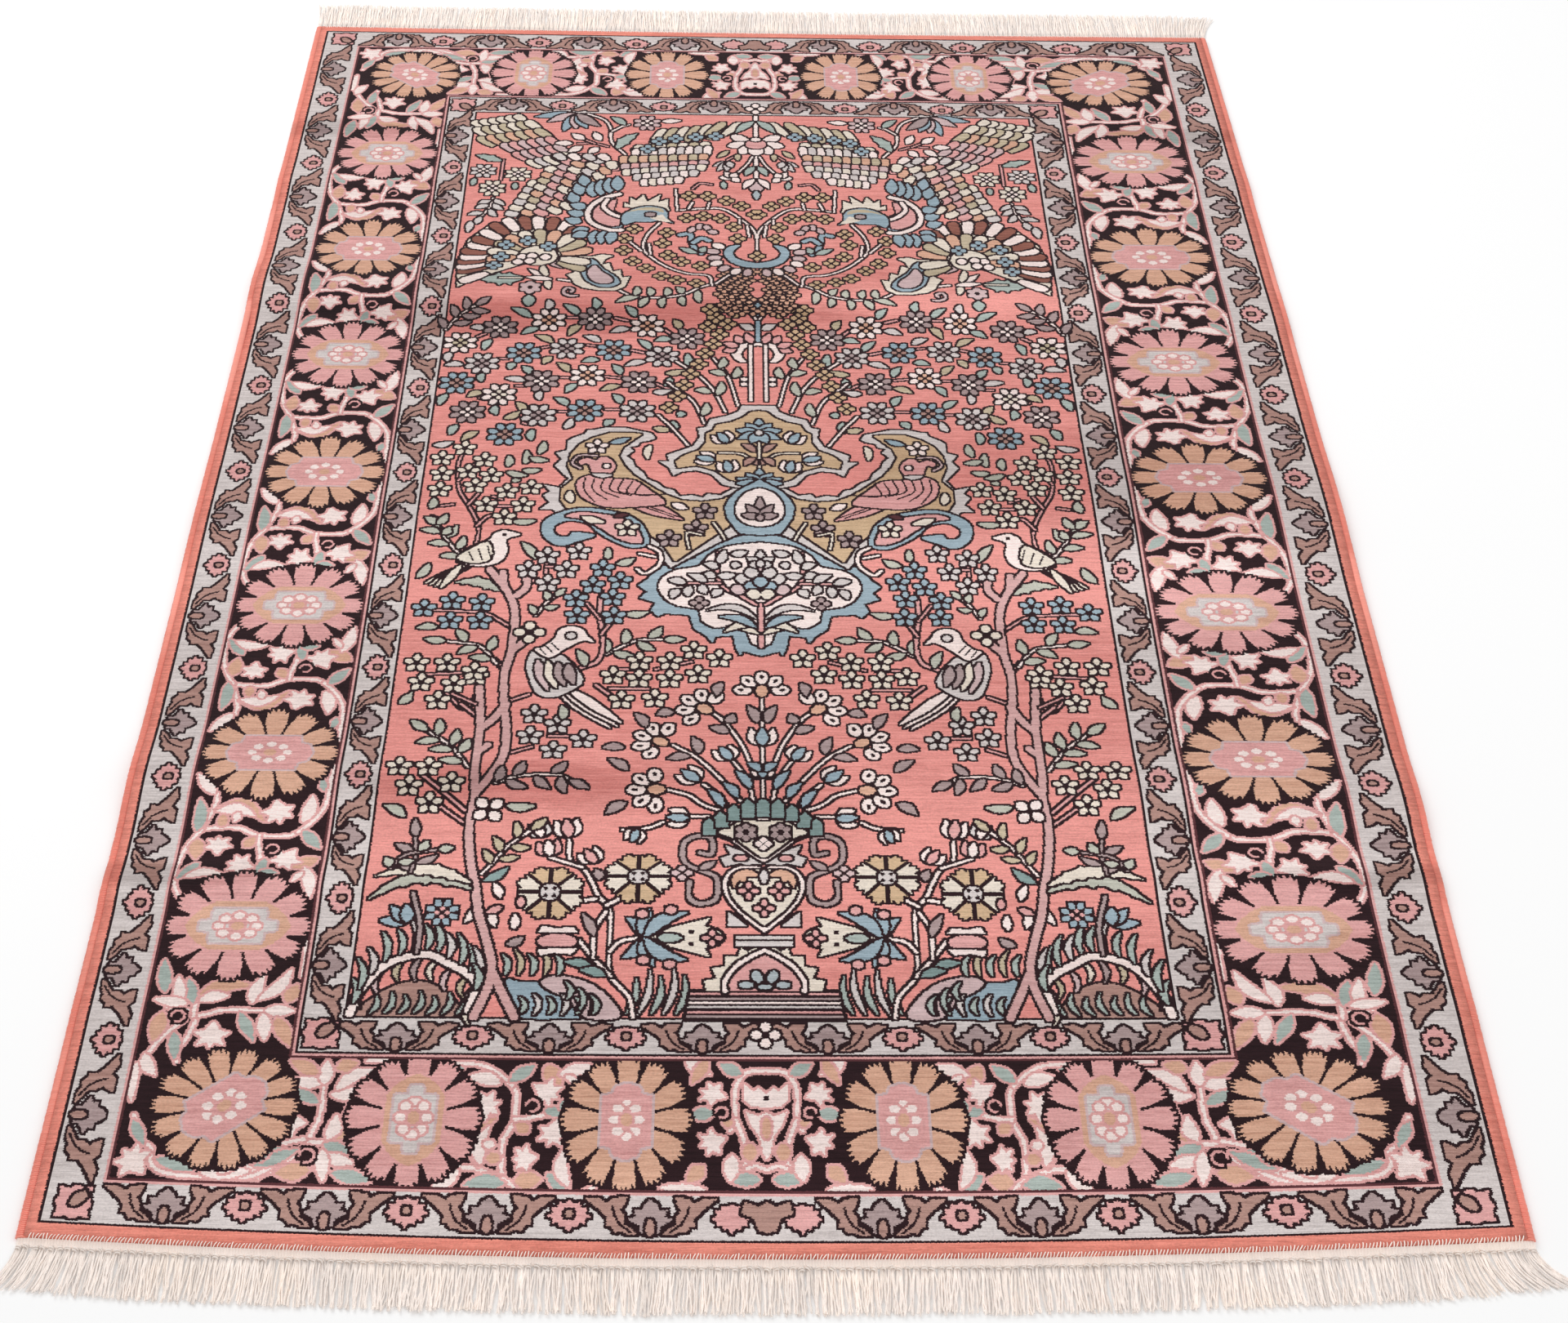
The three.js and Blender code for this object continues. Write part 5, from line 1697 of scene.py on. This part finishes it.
def sheet_mesh(name, low, high, patterned, drop=0.0, near_drop=0.0, inset=0.0, overhang=0.0):
    """A closed sheet on the folds, between two heights over the floor side, with the knots' numbers on
    its faces. The patterned side is the top or the back."""
    columns, rows = COLUMNS * FINE // PATCH, ROWS * FINE // PATCH
    u, v = np.meshgrid(np.linspace(-1, 1, columns + 1), np.linspace(-1, 1, rows + 1))
    x = (PILE_HALF - inset) * u + aside(u, v)
    y = bowed(x, (PILE_HALF_LENGTH - inset) * v + onward(u, v))
    rim = np.where((np.abs(u) > 0.9999) | (v > 0.9999), drop, np.where(v < -0.9999, near_drop, 0.0))
    floor_side = lift(x, y)
    leaning = x + np.where(np.abs(u) > 0.9999, overhang * u, 0.0)
    top = np.stack([leaning + MIDDLE_X, y + MIDDLE_Y, floor_side + high - rim], axis=-1).reshape(-1, 3)
    back = np.stack([x + MIDDLE_X, y + MIDDLE_Y, floor_side + low], axis=-1).reshape(-1, 3)
    corners, sides, faces = closed_faces(rows + 1, columns + 1)
    piece = mesh_object(name, np.concatenate([top, back]), faces)
    mesh = piece.data
    mesh.polygons.foreach_set("use_smooth", np.arange(len(faces)) < 2 * len(corners))
    side_code = np.full(len(sides), YARN_NUMBER["edge"] * (CODE_BASE ** np.arange(PACK)).sum())
    for k, packed in enumerate(packed_rows()):
        values = np.concatenate([packed, packed, side_code]).astype(np.float32)
        mesh.attributes.new(f"knots_{k}", "FLOAT", "FACE").data.foreach_set("value", values)
    square = np.array([[0, 0], [1, 0], [1, 1], [0, 1]], float)
    knots = np.concatenate([np.tile(square, (len(corners), 1)), np.tile(square[::-1], (len(corners), 1)),
        np.tile(square, (len(sides), 1))])
    mesh.uv_layers.new(name="Knots").data.foreach_set("uv", knots.astype(np.float32).ravel())
    flat = np.concatenate([top, top])[faces.ravel()][:, :2]
    flat = (flat - flat.min(axis=0)) / (flat.max(axis=0) - flat.min(axis=0))
    sizes = (len(corners), len(corners), len(sides))
    shown = np.repeat([patterned == "top", patterned == "back", False], sizes).repeat(4)[:, None]
    bake = np.where(shown, flat * [0.98, 0.96] + [0.01, 0.005], flat * [0.98, 0.02] + [0.01, 0.972])
    mesh.uv_layers.new(name="OFBake").data.foreach_set("uv", bake.astype(np.float32).ravel())
    return piece


def apply_tree(piece, tree, values):
    """Runs a geometry tree on a piece, with its named inputs, and keeps the result as a plain smooth
    mesh."""
    modifier = piece.modifiers.new(tree.name, "NODES")
    modifier.node_group = tree
    sockets = {item.name: item.identifier for item in tree.interface.items_tree if item.in_out == "INPUT"}
    for name, value in values.items():
        modifier[sockets[name]] = value
    bpy.context.view_layer.update()
    evaluated = piece.evaluated_get(bpy.context.evaluated_depsgraph_get())
    mesh = bpy.data.meshes.new_from_object(evaluated)
    piece.modifiers.remove(modifier)
    old = piece.data
    piece.data = mesh
    if isinstance(old, bpy.types.Mesh):
        bpy.data.meshes.remove(old)
    mesh.name = piece.name
    mesh.shade_smooth()
    if not mesh.polygons:
        raise RuntimeError(f"{piece.name}: the tree made no faces")
    return piece


def new_tree(name, *titles):
    """A geometry tree whose inputs are a geometry, a number for each title, a seed and a yarn."""
    tree = bpy.data.node_groups.new(name, "GeometryNodeTree")
    kinds = {"Geometry": "Geometry", **dict.fromkeys(titles, "Float"), "Seed": "Int", "Yarn": "Material"}
    for title, kind in kinds.items():
        tree.interface.new_socket(title, in_out="INPUT", socket_type=f"NodeSocket{kind}")
    tree.interface.new_socket("Geometry", in_out="OUTPUT", socket_type="NodeSocketGeometry")
    graph = Graph(tree)
    entry = graph.node("NodeGroupInput")
    return graph, [entry.out(title) for title in kinds]


def close_tree(graph, geometry, yarn):
    real = graph.node("GeometryNodeRealizeInstances", {}, {"Geometry": geometry})
    finished = graph.node("GeometryNodeSetMaterial", {}, {"Geometry": real, "Material": yarn})
    graph.node("NodeGroupOutput", {}, {0: finished})
    return graph.tree


def named(graph, name, kind="FLOAT"):
    """What is written down on each point under a name."""
    return graph.node("GeometryNodeInputNamedAttribute", {"data_type": kind}, {"Name": name})


def chance(graph, low, high, salt, seed):
    """A random number for each point: sockets 2 and 3 are its limits, and 8 is the seed."""
    return graph.node("FunctionNodeRandomValue", {"data_type": "FLOAT"}, {2: low, 3: high, 8: seed + salt},
        1)


def kept(graph, geometry, name, value):
    """Writes a number down on each point of a geometry."""
    return graph.node("GeometryNodeStoreNamedAttribute", {"data_type": "FLOAT", "domain": "POINT"},
        {"Geometry": geometry, "Name": name, "Value": value})


def swept(graph, path, section):
    """A section carried along a path."""
    return graph.node("GeometryNodeCurveToMesh", {}, {"Curve": path, "Profile Curve": section,
        "Fill Caps": True})


def strand(graph, path, thick):
    """A four-sided yarn along a path."""
    section = graph.node("GeometryNodeCurvePrimitiveCircle", {}, {"Resolution": 4, "Radius": thick * 0.5})
    return swept(graph, path, section)


def copies(graph, points, piece, turn, size):
    """A copy of a piece on each point, turned and scaled."""
    return graph.node("GeometryNodeInstanceOnPoints", {}, {"Points": points, "Instance": piece,
        "Rotation": turn, "Scale": size})


def wrap_tree():
    """Wool turns round a cord: rings spaced along a path, each a little tilted and thicker or thinner,
    over the core that they cover."""
    graph, (base, pitch, width, height, thick, slant, seed, yarn) = new_tree("overcast_wraps", "Pitch",
        "Width", "Height", "Thickness", "Slant")
    path = graph.node("GeometryNodeMeshToCurve", {}, {"Mesh": base})
    circle = graph.node("GeometryNodeCurvePrimitiveCircle", {}, {"Resolution": WRAP_SIDES, "Radius": 1.0})
    ring = graph.node("GeometryNodeTransform", {},
        {"Geometry": circle, "Scale": graph.vector((width - thick) * 0.5, (height - thick) * 0.5, 1.0)})
    points = graph.node("GeometryNodeCurveToPoints", {"mode": "LENGTH"}, {"Curve": path, "Length": pitch})
    tilt = graph.node("FunctionNodeRotateEuler", {"rotation_type": "EULER", "space": "LOCAL"},
        {"Rotation": points.out("Rotation"), "Rotate By": graph.vector(chance(graph, -0.05, 0.05, 1, seed),
        slant + chance(graph, -0.05, 0.05, 2, seed), 0.0)})
    size = chance(graph, 0.96, 1.05, 3, seed)
    turns = copies(graph, points, strand(graph, ring, thick * 1.24), tilt, graph.vector(size, size, 1.0))
    core = swept(graph, graph.node("GeometryNodeResampleCurve", {}, {"Curve": path}), ring)
    both = graph.node("GeometryNodeJoinGeometry", {}, {"Geometry": turns})
    graph.tree.links.new(core.socket, both.socket.node.inputs[0])
    return close_tree(graph, both, yarn)


def yarn_tree():
    """Loose yarns from the knots to their tips: each point of the base is a yarn's root."""
    graph, (points, length, thick, side, wavy, seed, yarn) = new_tree("fringe_yarns", "Length",
        "Thickness", "Side", "Waviness")
    straight = graph.node("GeometryNodeCurvePrimitiveLine", {"mode": "POINTS"},
        {"Start": (0.0, 0.0, 0.0), "End": (0.0, 1.0, 0.0)})
    stepped = graph.node("GeometryNodeResampleCurve", {}, {"Curve": straight, "Count": YARN_STEPS})
    points = kept(graph, points, "cut", chance(graph, 0.93, 1.03, 1, seed))
    points = kept(graph, points, "stack", chance(graph, 0.0, 1.0, 2, seed))
    points = kept(graph, points, "number", graph.node("GeometryNodeInputIndex"))
    laid = graph.node("GeometryNodeInstanceOnPoints", {}, {"Points": points, "Instance": stepped})
    real = graph.node("GeometryNodeRealizeInstances", {}, {"Geometry": laid})
    t = graph.node("GeometryNodeSplineParameter", output="Factor")
    root_x, root_y, root_z = graph.parts(named(graph, "root", "FLOAT_VECTOR"))
    swing, spread = named(graph, "swing"), named(graph, "spread")
    index = named(graph, "number")
    bend = graph.noise(graph.vector(index * 7.31, t * 1.6, 0.0), 1.0, 1.0) - 0.5
    curl = graph.noise(graph.vector(index * 3.17, t * 4.2, 5.0), 1.0, 1.0) - 0.5
    rise = graph.noise(graph.vector(index * 5.73, t * 2.4, 9.0), 1.0, 1.0)
    across = root_x + swing * t.math("POWER", 1.7) + spread * t
    across = across + (bend * 2.6 + curl * 0.9) * wavy * t.math("POWER", 0.7)
    reach = length * named(graph, "cut") * t - swing.math("ABSOLUTE") * t * t * 0.35
    floor_height = thick * 0.5 + named(graph, "stack") * thick * 1.1 + rise * thick * 0.7
    settle = graph.eased(t, 0.0, 0.35, 1.0, 0.0)
    height = settle * root_z + (1.0 - settle) * floor_height
    placed = graph.node("GeometryNodeSetPosition", {},
        {"Geometry": real, "Position": graph.vector(across, root_y + side * reach,
        height.most(thick * 0.52))})
    thin = graph.node("GeometryNodeSetCurveRadius", {},
        {"Curve": placed, "Radius": graph.eased(t, 0.75, 1.0, 1.0, 0.72)})
    return close_tree(graph, strand(graph, kept(graph, thin, "share", t), thick), yarn)


def knot_tree():
    """A small coiled knot at each point of the base, tied round the yarns that leave it."""
    graph, (base, radius, length, thick, seed, yarn) = new_tree("tied_knots", "Radius", "Length",
        "Thickness")
    coil = graph.node("GeometryNodeCurveSpiral", {}, {"Resolution": 9, "Rotations": 2.2,
        "Start Radius": radius, "End Radius": radius * 0.82, "Height": length})
    turn = graph.vector(math.pi / 2 + chance(graph, -0.25, 0.25, 1, seed),
        chance(graph, -1.2, 1.2, 2, seed), chance(graph, -0.3, 0.3, 3, seed))
    size = chance(graph, 0.85, 1.18, 4, seed)
    knots = copies(graph, base, strand(graph, coil, thick), turn, graph.vector(size, size * 0.85, size))
    return close_tree(graph, knots, yarn)


def stitch_tree():
    """Short arched stitches over the pile's last row, one at each point of the base."""
    graph, (base, reach, rise, thick, side, seed, yarn) = new_tree("edge_stitches", "Reach", "Rise",
        "Thickness", "Side")
    arch = graph.node("GeometryNodeCurveQuadraticBezier", {},
        {"Resolution": 6, "Start": graph.vector(reach * -0.25, side * reach * 0.7, rise * -0.75),
        "Middle": graph.vector(0.0, side * reach * 0.35, rise * 1.1), "End": graph.vector(reach * 0.3,
        side * reach * -0.8, rise * 0.12)})
    size = chance(graph, 0.75, 1.15, 1, seed)
    turn = graph.vector(0.0, 0.0, chance(graph, -0.3, 0.3, 2, seed))
    stitches = copies(graph, base, strand(graph, arch, thick), turn, graph.vector(size, size, 1.0))
    return close_tree(graph, stitches, yarn)


def root_piece(name, roots, **facts):
    """A bare base of points for a geometry tree, with a number on each point for each fact."""
    piece = mesh_object(name, roots, [], smooth=False)
    points = piece.data.attributes.new("root", "FLOAT_VECTOR", "POINT").data
    points.foreach_set("vector", np.asarray(roots, np.float32).ravel())
    for title, values in facts.items():
        points = piece.data.attributes.new(title, "FLOAT", "POINT").data
        points.foreach_set("value", np.asarray(values, np.float32))
    return piece


def end_edge(x, side):
    """Where the pile ends at a place across, on the near (-1) or the far (1) side."""
    return bowed(x, side * PILE_HALF_LENGTH)


def end_aside(x, side):
    """How far a thread at an end goes aside with the pile's right corner."""
    return aside(1.0, side) * np.clip(x / PILE_HALF, 0.0, 1.0) ** 4


def corner_swing(x, end):
    """How far the yarns near a corner swing outward."""
    share = np.clip(1.0 - (WEB_HALF_WIDTH - np.abs(x)) / (end["spread"] * MM), 0.0, 1.0) ** 1.6
    return np.where(x < 0, -end["left"], end["right"]) * MM * share


def web_mesh(end):
    """The cotton web between the pile and the knots, ribbed by its warps: it climbs the pile's edge."""
    ribs = int(2 * WEB_HALF_WIDTH / RIB_PITCH)
    x = np.linspace(-WEB_HALF_WIDTH, WEB_HALF_WIDTH, 2 * ribs + 1)
    wave = np.where(np.arange(2 * ribs + 1) % 2 == 0, 0.55, 1.0)
    steps = np.array([0.0, 0.2, 0.45, 0.7, 0.9, 1.0])
    heights = np.array([0.75, 1.0, 0.92, 1.0, 0.9, 0.45])
    edge = end_edge(x, end["side"]) + end["side"] * SEAM_GAP
    moved = x + end_aside(x, end["side"]) + MIDDLE_X
    rows_top, rows_low = [], []
    for step, height in zip(steps, heights):
        y = edge + end["side"] * WEB_DEPTH * step
        top = WEB_THICKNESS * (0.25 + 0.75 * wave * height) + WEB_CLIMB * (1.0 - step) ** 2
        rows_top.append(np.stack([moved, y + MIDDLE_Y, top], axis=-1))
        rows_low.append(np.stack([moved, y + MIDDLE_Y, 0.04 * WEB_THICKNESS + 0 * x], axis=-1))
    vertices = np.concatenate(rows_top + rows_low)
    faces = closed_faces(len(steps), len(x))[2]
    if end["side"] < 0:
        faces = faces[:, ::-1]
    return mesh_object(f"web_{end['name']}", vertices, faces, smooth=False)


# What a user can change.


class RugSizes(bpy.types.PropertyGroup):
    knot_pitch: bpy.props.FloatProperty(name="Fringe knot pitch",
        description="Distance between the fringe's knots", default=5.1 * MM, min=2 * MM, max=12 * MM,
        unit="LENGTH")
    yarn_length: bpy.props.FloatProperty(name="Fringe length",
        description="Length of the loose yarns past the knots", default=35 * MM, min=10 * MM, max=80 * MM,
        unit="LENGTH")
    yarn_thickness: bpy.props.FloatProperty(name="Fringe yarn thickness",
        description="Thickness of one loose yarn", default=1.15 * MM, min=0.4 * MM, max=3 * MM,
        unit="LENGTH")
    wrap_pitch: bpy.props.FloatProperty(name="Overcast pitch",
        description="Distance between the wool turns on the side cords", default=1.5 * MM, min=0.8 * MM,
        max=4 * MM, unit="LENGTH")
    wrap_slant: bpy.props.FloatProperty(name="Overcast slant",
        description="How far the turns lean along the cord", default=0.12, min=0.0, max=0.6,
        subtype="ANGLE")


class RugDyes(bpy.types.PropertyGroup):
    __annotations__ = {name: bpy.props.FloatVectorProperty(name=name.capitalize(),
        description=f"Display colour of the {name} yarn", size=3, default=colour, min=0.0, max=1.0,
        subtype="COLOR_GAMMA") for name, colour in YARNS.items()}


class RugTrim(bpy.types.PropertyGroup):
    cotton: bpy.props.FloatVectorProperty(name="Cotton",
        description="Display colour of the fringe and the end webs", size=3, default=(0.99, 0.945, 0.915),
        min=0.0, max=1.0, subtype="COLOR_GAMMA")
    floor: bpy.props.FloatVectorProperty(name="Floor", description="Display colour of the floor", size=3,
        default=(1.0, 1.0, 1.0), min=0.0, max=1.0, subtype="COLOR_GAMMA")


def dye_colours():
    return {name: tuple(getattr(bpy.context.scene.rug_dyes, name)) for name in YARNS}


class OBJECT_OT_rug_stage(bpy.types.Operator):
    """Sets the pale floor, the soft lights and the camera"""

    bl_idname = "object.rug_stage"
    bl_label = "Stage"

    def execute(self, context):
        scene = context.scene
        scene.view_settings.view_transform = "Standard"
        half = 6.0
        floor = mesh_object("floor", [(-half, -half, 0), (half, -half, 0), (half, half, 0),
            (-half, half, 0)], [(0, 1, 2, 3)], smooth=False)
        floor.location = (0.0, 0.0, -0.1 * MM)
        floor.data.materials.append(floor_material(tuple(scene.rug_trim.floor)))
        world = bpy.data.worlds.new("studio")
        world.use_nodes = True
        world.node_tree.nodes["Background"].inputs["Color"].default_value = (1.0, 1.0, 1.0, 1.0)
        world.node_tree.nodes["Background"].inputs["Strength"].default_value = 0.62
        scene.world = world
        for name, place, size, power in (("window", (-1.6, 1.9, 2.6), 2.6, 62.0),
                ("fill", (2.2, -1.4, 2.8), 3.0, 26.0)):
            lamp = bpy.data.lights.new(name, "AREA")
            lamp.energy, lamp.size = power, size
            light = bpy.data.objects.new(name, lamp)
            light.location = place
            light.rotation_euler = (-Vector(place)).to_track_quat("-Z", "Y").to_euler()
            scene.collection.objects.link(light)
        eye = bpy.data.cameras.new("camera")
        eye.lens, eye.sensor_width = LENS, 36.0
        camera = bpy.data.objects.new("camera", eye)
        right = CAMERA_RIGHT.normalized()
        down = (CAMERA_DOWN - right * CAMERA_DOWN.dot(right)).normalized()
        turn = Matrix((right, -down, right.cross(-down))).transposed()
        place = Vector((MIDDLE_X, MIDDLE_Y, 0.0)) + CAMERA_FROM_MIDDLE
        camera.matrix_world = Matrix.Translation(place) @ turn.to_4x4()
        scene.collection.objects.link(camera)
        scene.camera = camera
        return {"FINISHED"}


class OBJECT_OT_rug_pile(bpy.types.Operator):
    """Makes the knotted pile and its woven back from the chart"""

    bl_idname = "object.rug_pile"
    bl_label = "Pile and back"

    def execute(self, context):
        draw_border()
        draw_field()
        dyes = dye_colours()
        pile = sheet_mesh("knotted_pile", BACK_TOP + SEAM_GAP, PILE_TOP, "top", drop=0.9 * MM,
            near_drop=1.6 * MM, overhang=1.6 * MM)
        pile.data.materials.append(pile_material(dyes))
        back = sheet_mesh("woven_back", 0.0, BACK_TOP, "back", inset=0.4 * MM)
        back.data.materials.append(back_material(dyes))
        for piece in (pile, back):
            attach(piece, "root")
            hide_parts("pile_sheet")
        return {"FINISHED"}


class OBJECT_OT_rug_sides(bpy.types.Operator):
    """Winds the wool turns round both side cords"""

    bl_idname = "object.rug_sides"
    bl_label = "Overcast sides"

    def execute(self, context):
        sizes, tree, wool = context.scene.rug_sizes, wrap_tree(), wrap_material(dye_colours())
        for name, side in (("left", -1), ("right", 1)):
            y = np.linspace(-PILE_HALF_LENGTH, PILE_HALF_LENGTH, 97)
            x = side * CORD_MIDDLE + aside(float(side), y / PILE_HALF_LENGTH)
            z = lift(x, y) + CORD_LIFT
            places = np.stack([x + MIDDLE_X, y + MIDDLE_Y, z], axis=-1)
            piece = mesh_object(f"overcast_{name}", places, [], smooth=False)
            piece.data.edges.add(len(y) - 1)
            pairs = np.stack([np.arange(len(y) - 1), np.arange(1, len(y))], axis=-1)
            piece.data.edges.foreach_set("vertices", pairs.ravel())
            apply_tree(piece, tree, {"Pitch": sizes.wrap_pitch, "Width": CORD_WIDTH, "Height": CORD_HEIGHT,
                "Thickness": sizes.wrap_pitch * 0.9, "Slant": sizes.wrap_slant * side, "Seed": 3,
                "Yarn": wool})
            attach(piece, "root")
            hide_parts(f"selvedge_{name}")
        return {"FINISHED"}


class OBJECT_OT_rug_fringe(bpy.types.Operator):
    """Makes the end webs, the stitches over the pile's edge, the knots and the loose yarns"""

    bl_idname = "object.rug_fringe"
    bl_label = "Fringes"

    def execute(self, context):
        sizes = context.scene.rug_sizes
        cotton = tuple(context.scene.rug_trim.cotton)
        yarn = yarn_material("cotton_fringe", cotton, 0.4, loose=True)
        thread = yarn_material("cotton_thread", cotton, 0.3)
        # The knots' cotton is painted a little darker, as shade among the knots.
        shaded_tie_yarn = yarn_material("cotton_ties", tuple(c * 0.95 for c in cotton), 0.3)
        web_yarn = yarn_material("cotton_web", tuple(c * 0.98 for c in cotton), 0.15, twist=500.0)
        yarns_of, knots_of, stitches_of = yarn_tree(), knot_tree(), stitch_tree()
        for end in FRINGES:
            rng = np.random.default_rng(11 + end["side"])
            side, name = end["side"], end["name"]
            groups = int(2 * (WEB_HALF_WIDTH - 2 * MM) / sizes.knot_pitch)
            x = np.linspace(-WEB_HALF_WIDTH + 2 * MM, WEB_HALF_WIDTH - 2 * MM, groups)
            x = x + rng.uniform(-0.35, 0.35, groups) * MM
            moved = x + end_aside(x, side) + MIDDLE_X
            knot_y = end_edge(x, side) + side * (WEB_DEPTH + rng.uniform(-0.5, 0.5, groups) * MM)
            web = web_mesh(end)
            web.data.materials.append(web_yarn)
            roots, swings, spreads = [], [], []
            for k in range(groups):
                strands = 6 if k % 3 else 5
                lean = corner_swing(x[k], end)
                drift = DRIFT * math.sin(x[k] / DRIFT_WAVE * 2 * math.pi + end["phase"])
                for j in range(strands):
                    off = (j - (strands - 1) / 2) / (strands - 1)
                    roots.append((moved[k] + off * ROOTS_WIDTH, knot_y[k] + MIDDLE_Y,
                        (1.3 + 0.5 * (j % 2)) * MM))
                    swings.append(lean + drift)
                    spreads.append(off * YARN_SPREAD + rng.uniform(-2.0, 2.0) * MM)
            loose = root_piece(f"yarns_{name}", roots, swing=swings, spread=spreads)
            apply_tree(loose, yarns_of, {"Length": sizes.yarn_length * end["longer"],
                "Thickness": sizes.yarn_thickness, "Side": float(side), "Waviness": 2.3 * MM,
                "Seed": 21 + side, "Yarn": yarn})
            ties = np.stack([moved, knot_y + MIDDLE_Y, np.full(groups, 2.0 * MM)], axis=-1)
            knots = root_piece(f"knots_{name}", ties)
            apply_tree(knots, knots_of, {"Radius": 1.75 * MM, "Length": 2.8 * MM, "Thickness": 1.15 * MM,
                "Seed": 41 + side, "Yarn": shaded_tie_yarn})
            count = int(2 * PILE_HALF / STITCH_PITCH)
            sx = np.linspace(-PILE_HALF + 1.5 * MM, PILE_HALF - 1.5 * MM, count)
            sy = end_edge(sx, side)
            sz = lift(sx, sy) + 4.9 * MM
            sewn = sx + end_aside(sx, side) + MIDDLE_X
            over = root_piece(f"stitches_{name}", np.stack([sewn, sy + MIDDLE_Y, sz], axis=-1))
            apply_tree(over, stitches_of, {"Reach": 2.6 * MM, "Rise": 1.5 * MM, "Thickness": 0.7 * MM,
                "Side": float(side), "Seed": 61 + side, "Yarn": thread})
            for piece in (loose, web, knots, over):
                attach(piece, "root")
            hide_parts(f"fringe_{name}")
            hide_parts(f"fringe_{name}")
        return {"FINISHED"}


class VIEW3D_PT_rug(bpy.types.Panel):
    bl_label = "Knotted rug"
    bl_idname = "VIEW3D_PT_rug"
    bl_space_type = "VIEW_3D"
    bl_region_type = "UI"
    bl_category = "Rug"

    def draw(self, context):
        column = self.layout.column()
        for operator in OPERATORS:
            column.operator(operator.bl_idname)
        for group in (context.scene.rug_sizes, context.scene.rug_trim, context.scene.rug_dyes):
            for title in group.bl_rna.properties.keys():
                if title not in {"rna_type", "name"}:
                    column.prop(group, title)


OPERATORS = (OBJECT_OT_rug_stage, OBJECT_OT_rug_pile, OBJECT_OT_rug_sides, OBJECT_OT_rug_fringe)
CLASSES = (RugSizes, RugDyes, RugTrim, *OPERATORS, VIEW3D_PT_rug)


def register():
    for kind in CLASSES:
        bpy.utils.register_class(kind)
    bpy.types.Scene.rug_sizes = bpy.props.PointerProperty(type=RugSizes)
    bpy.types.Scene.rug_dyes = bpy.props.PointerProperty(type=RugDyes)
    bpy.types.Scene.rug_trim = bpy.props.PointerProperty(type=RugTrim)


def unregister():
    for title in ("rug_sizes", "rug_dyes", "rug_trim"):
        delattr(bpy.types.Scene, title)
    for kind in reversed(CLASSES):
        bpy.utils.unregister_class(kind)


def main():
    register()
    bpy.ops.object.rug_stage()
    bpy.ops.object.rug_pile()
    bpy.ops.object.rug_sides()
    bpy.ops.object.rug_fringe()


if __name__ == "__main__":
    main()
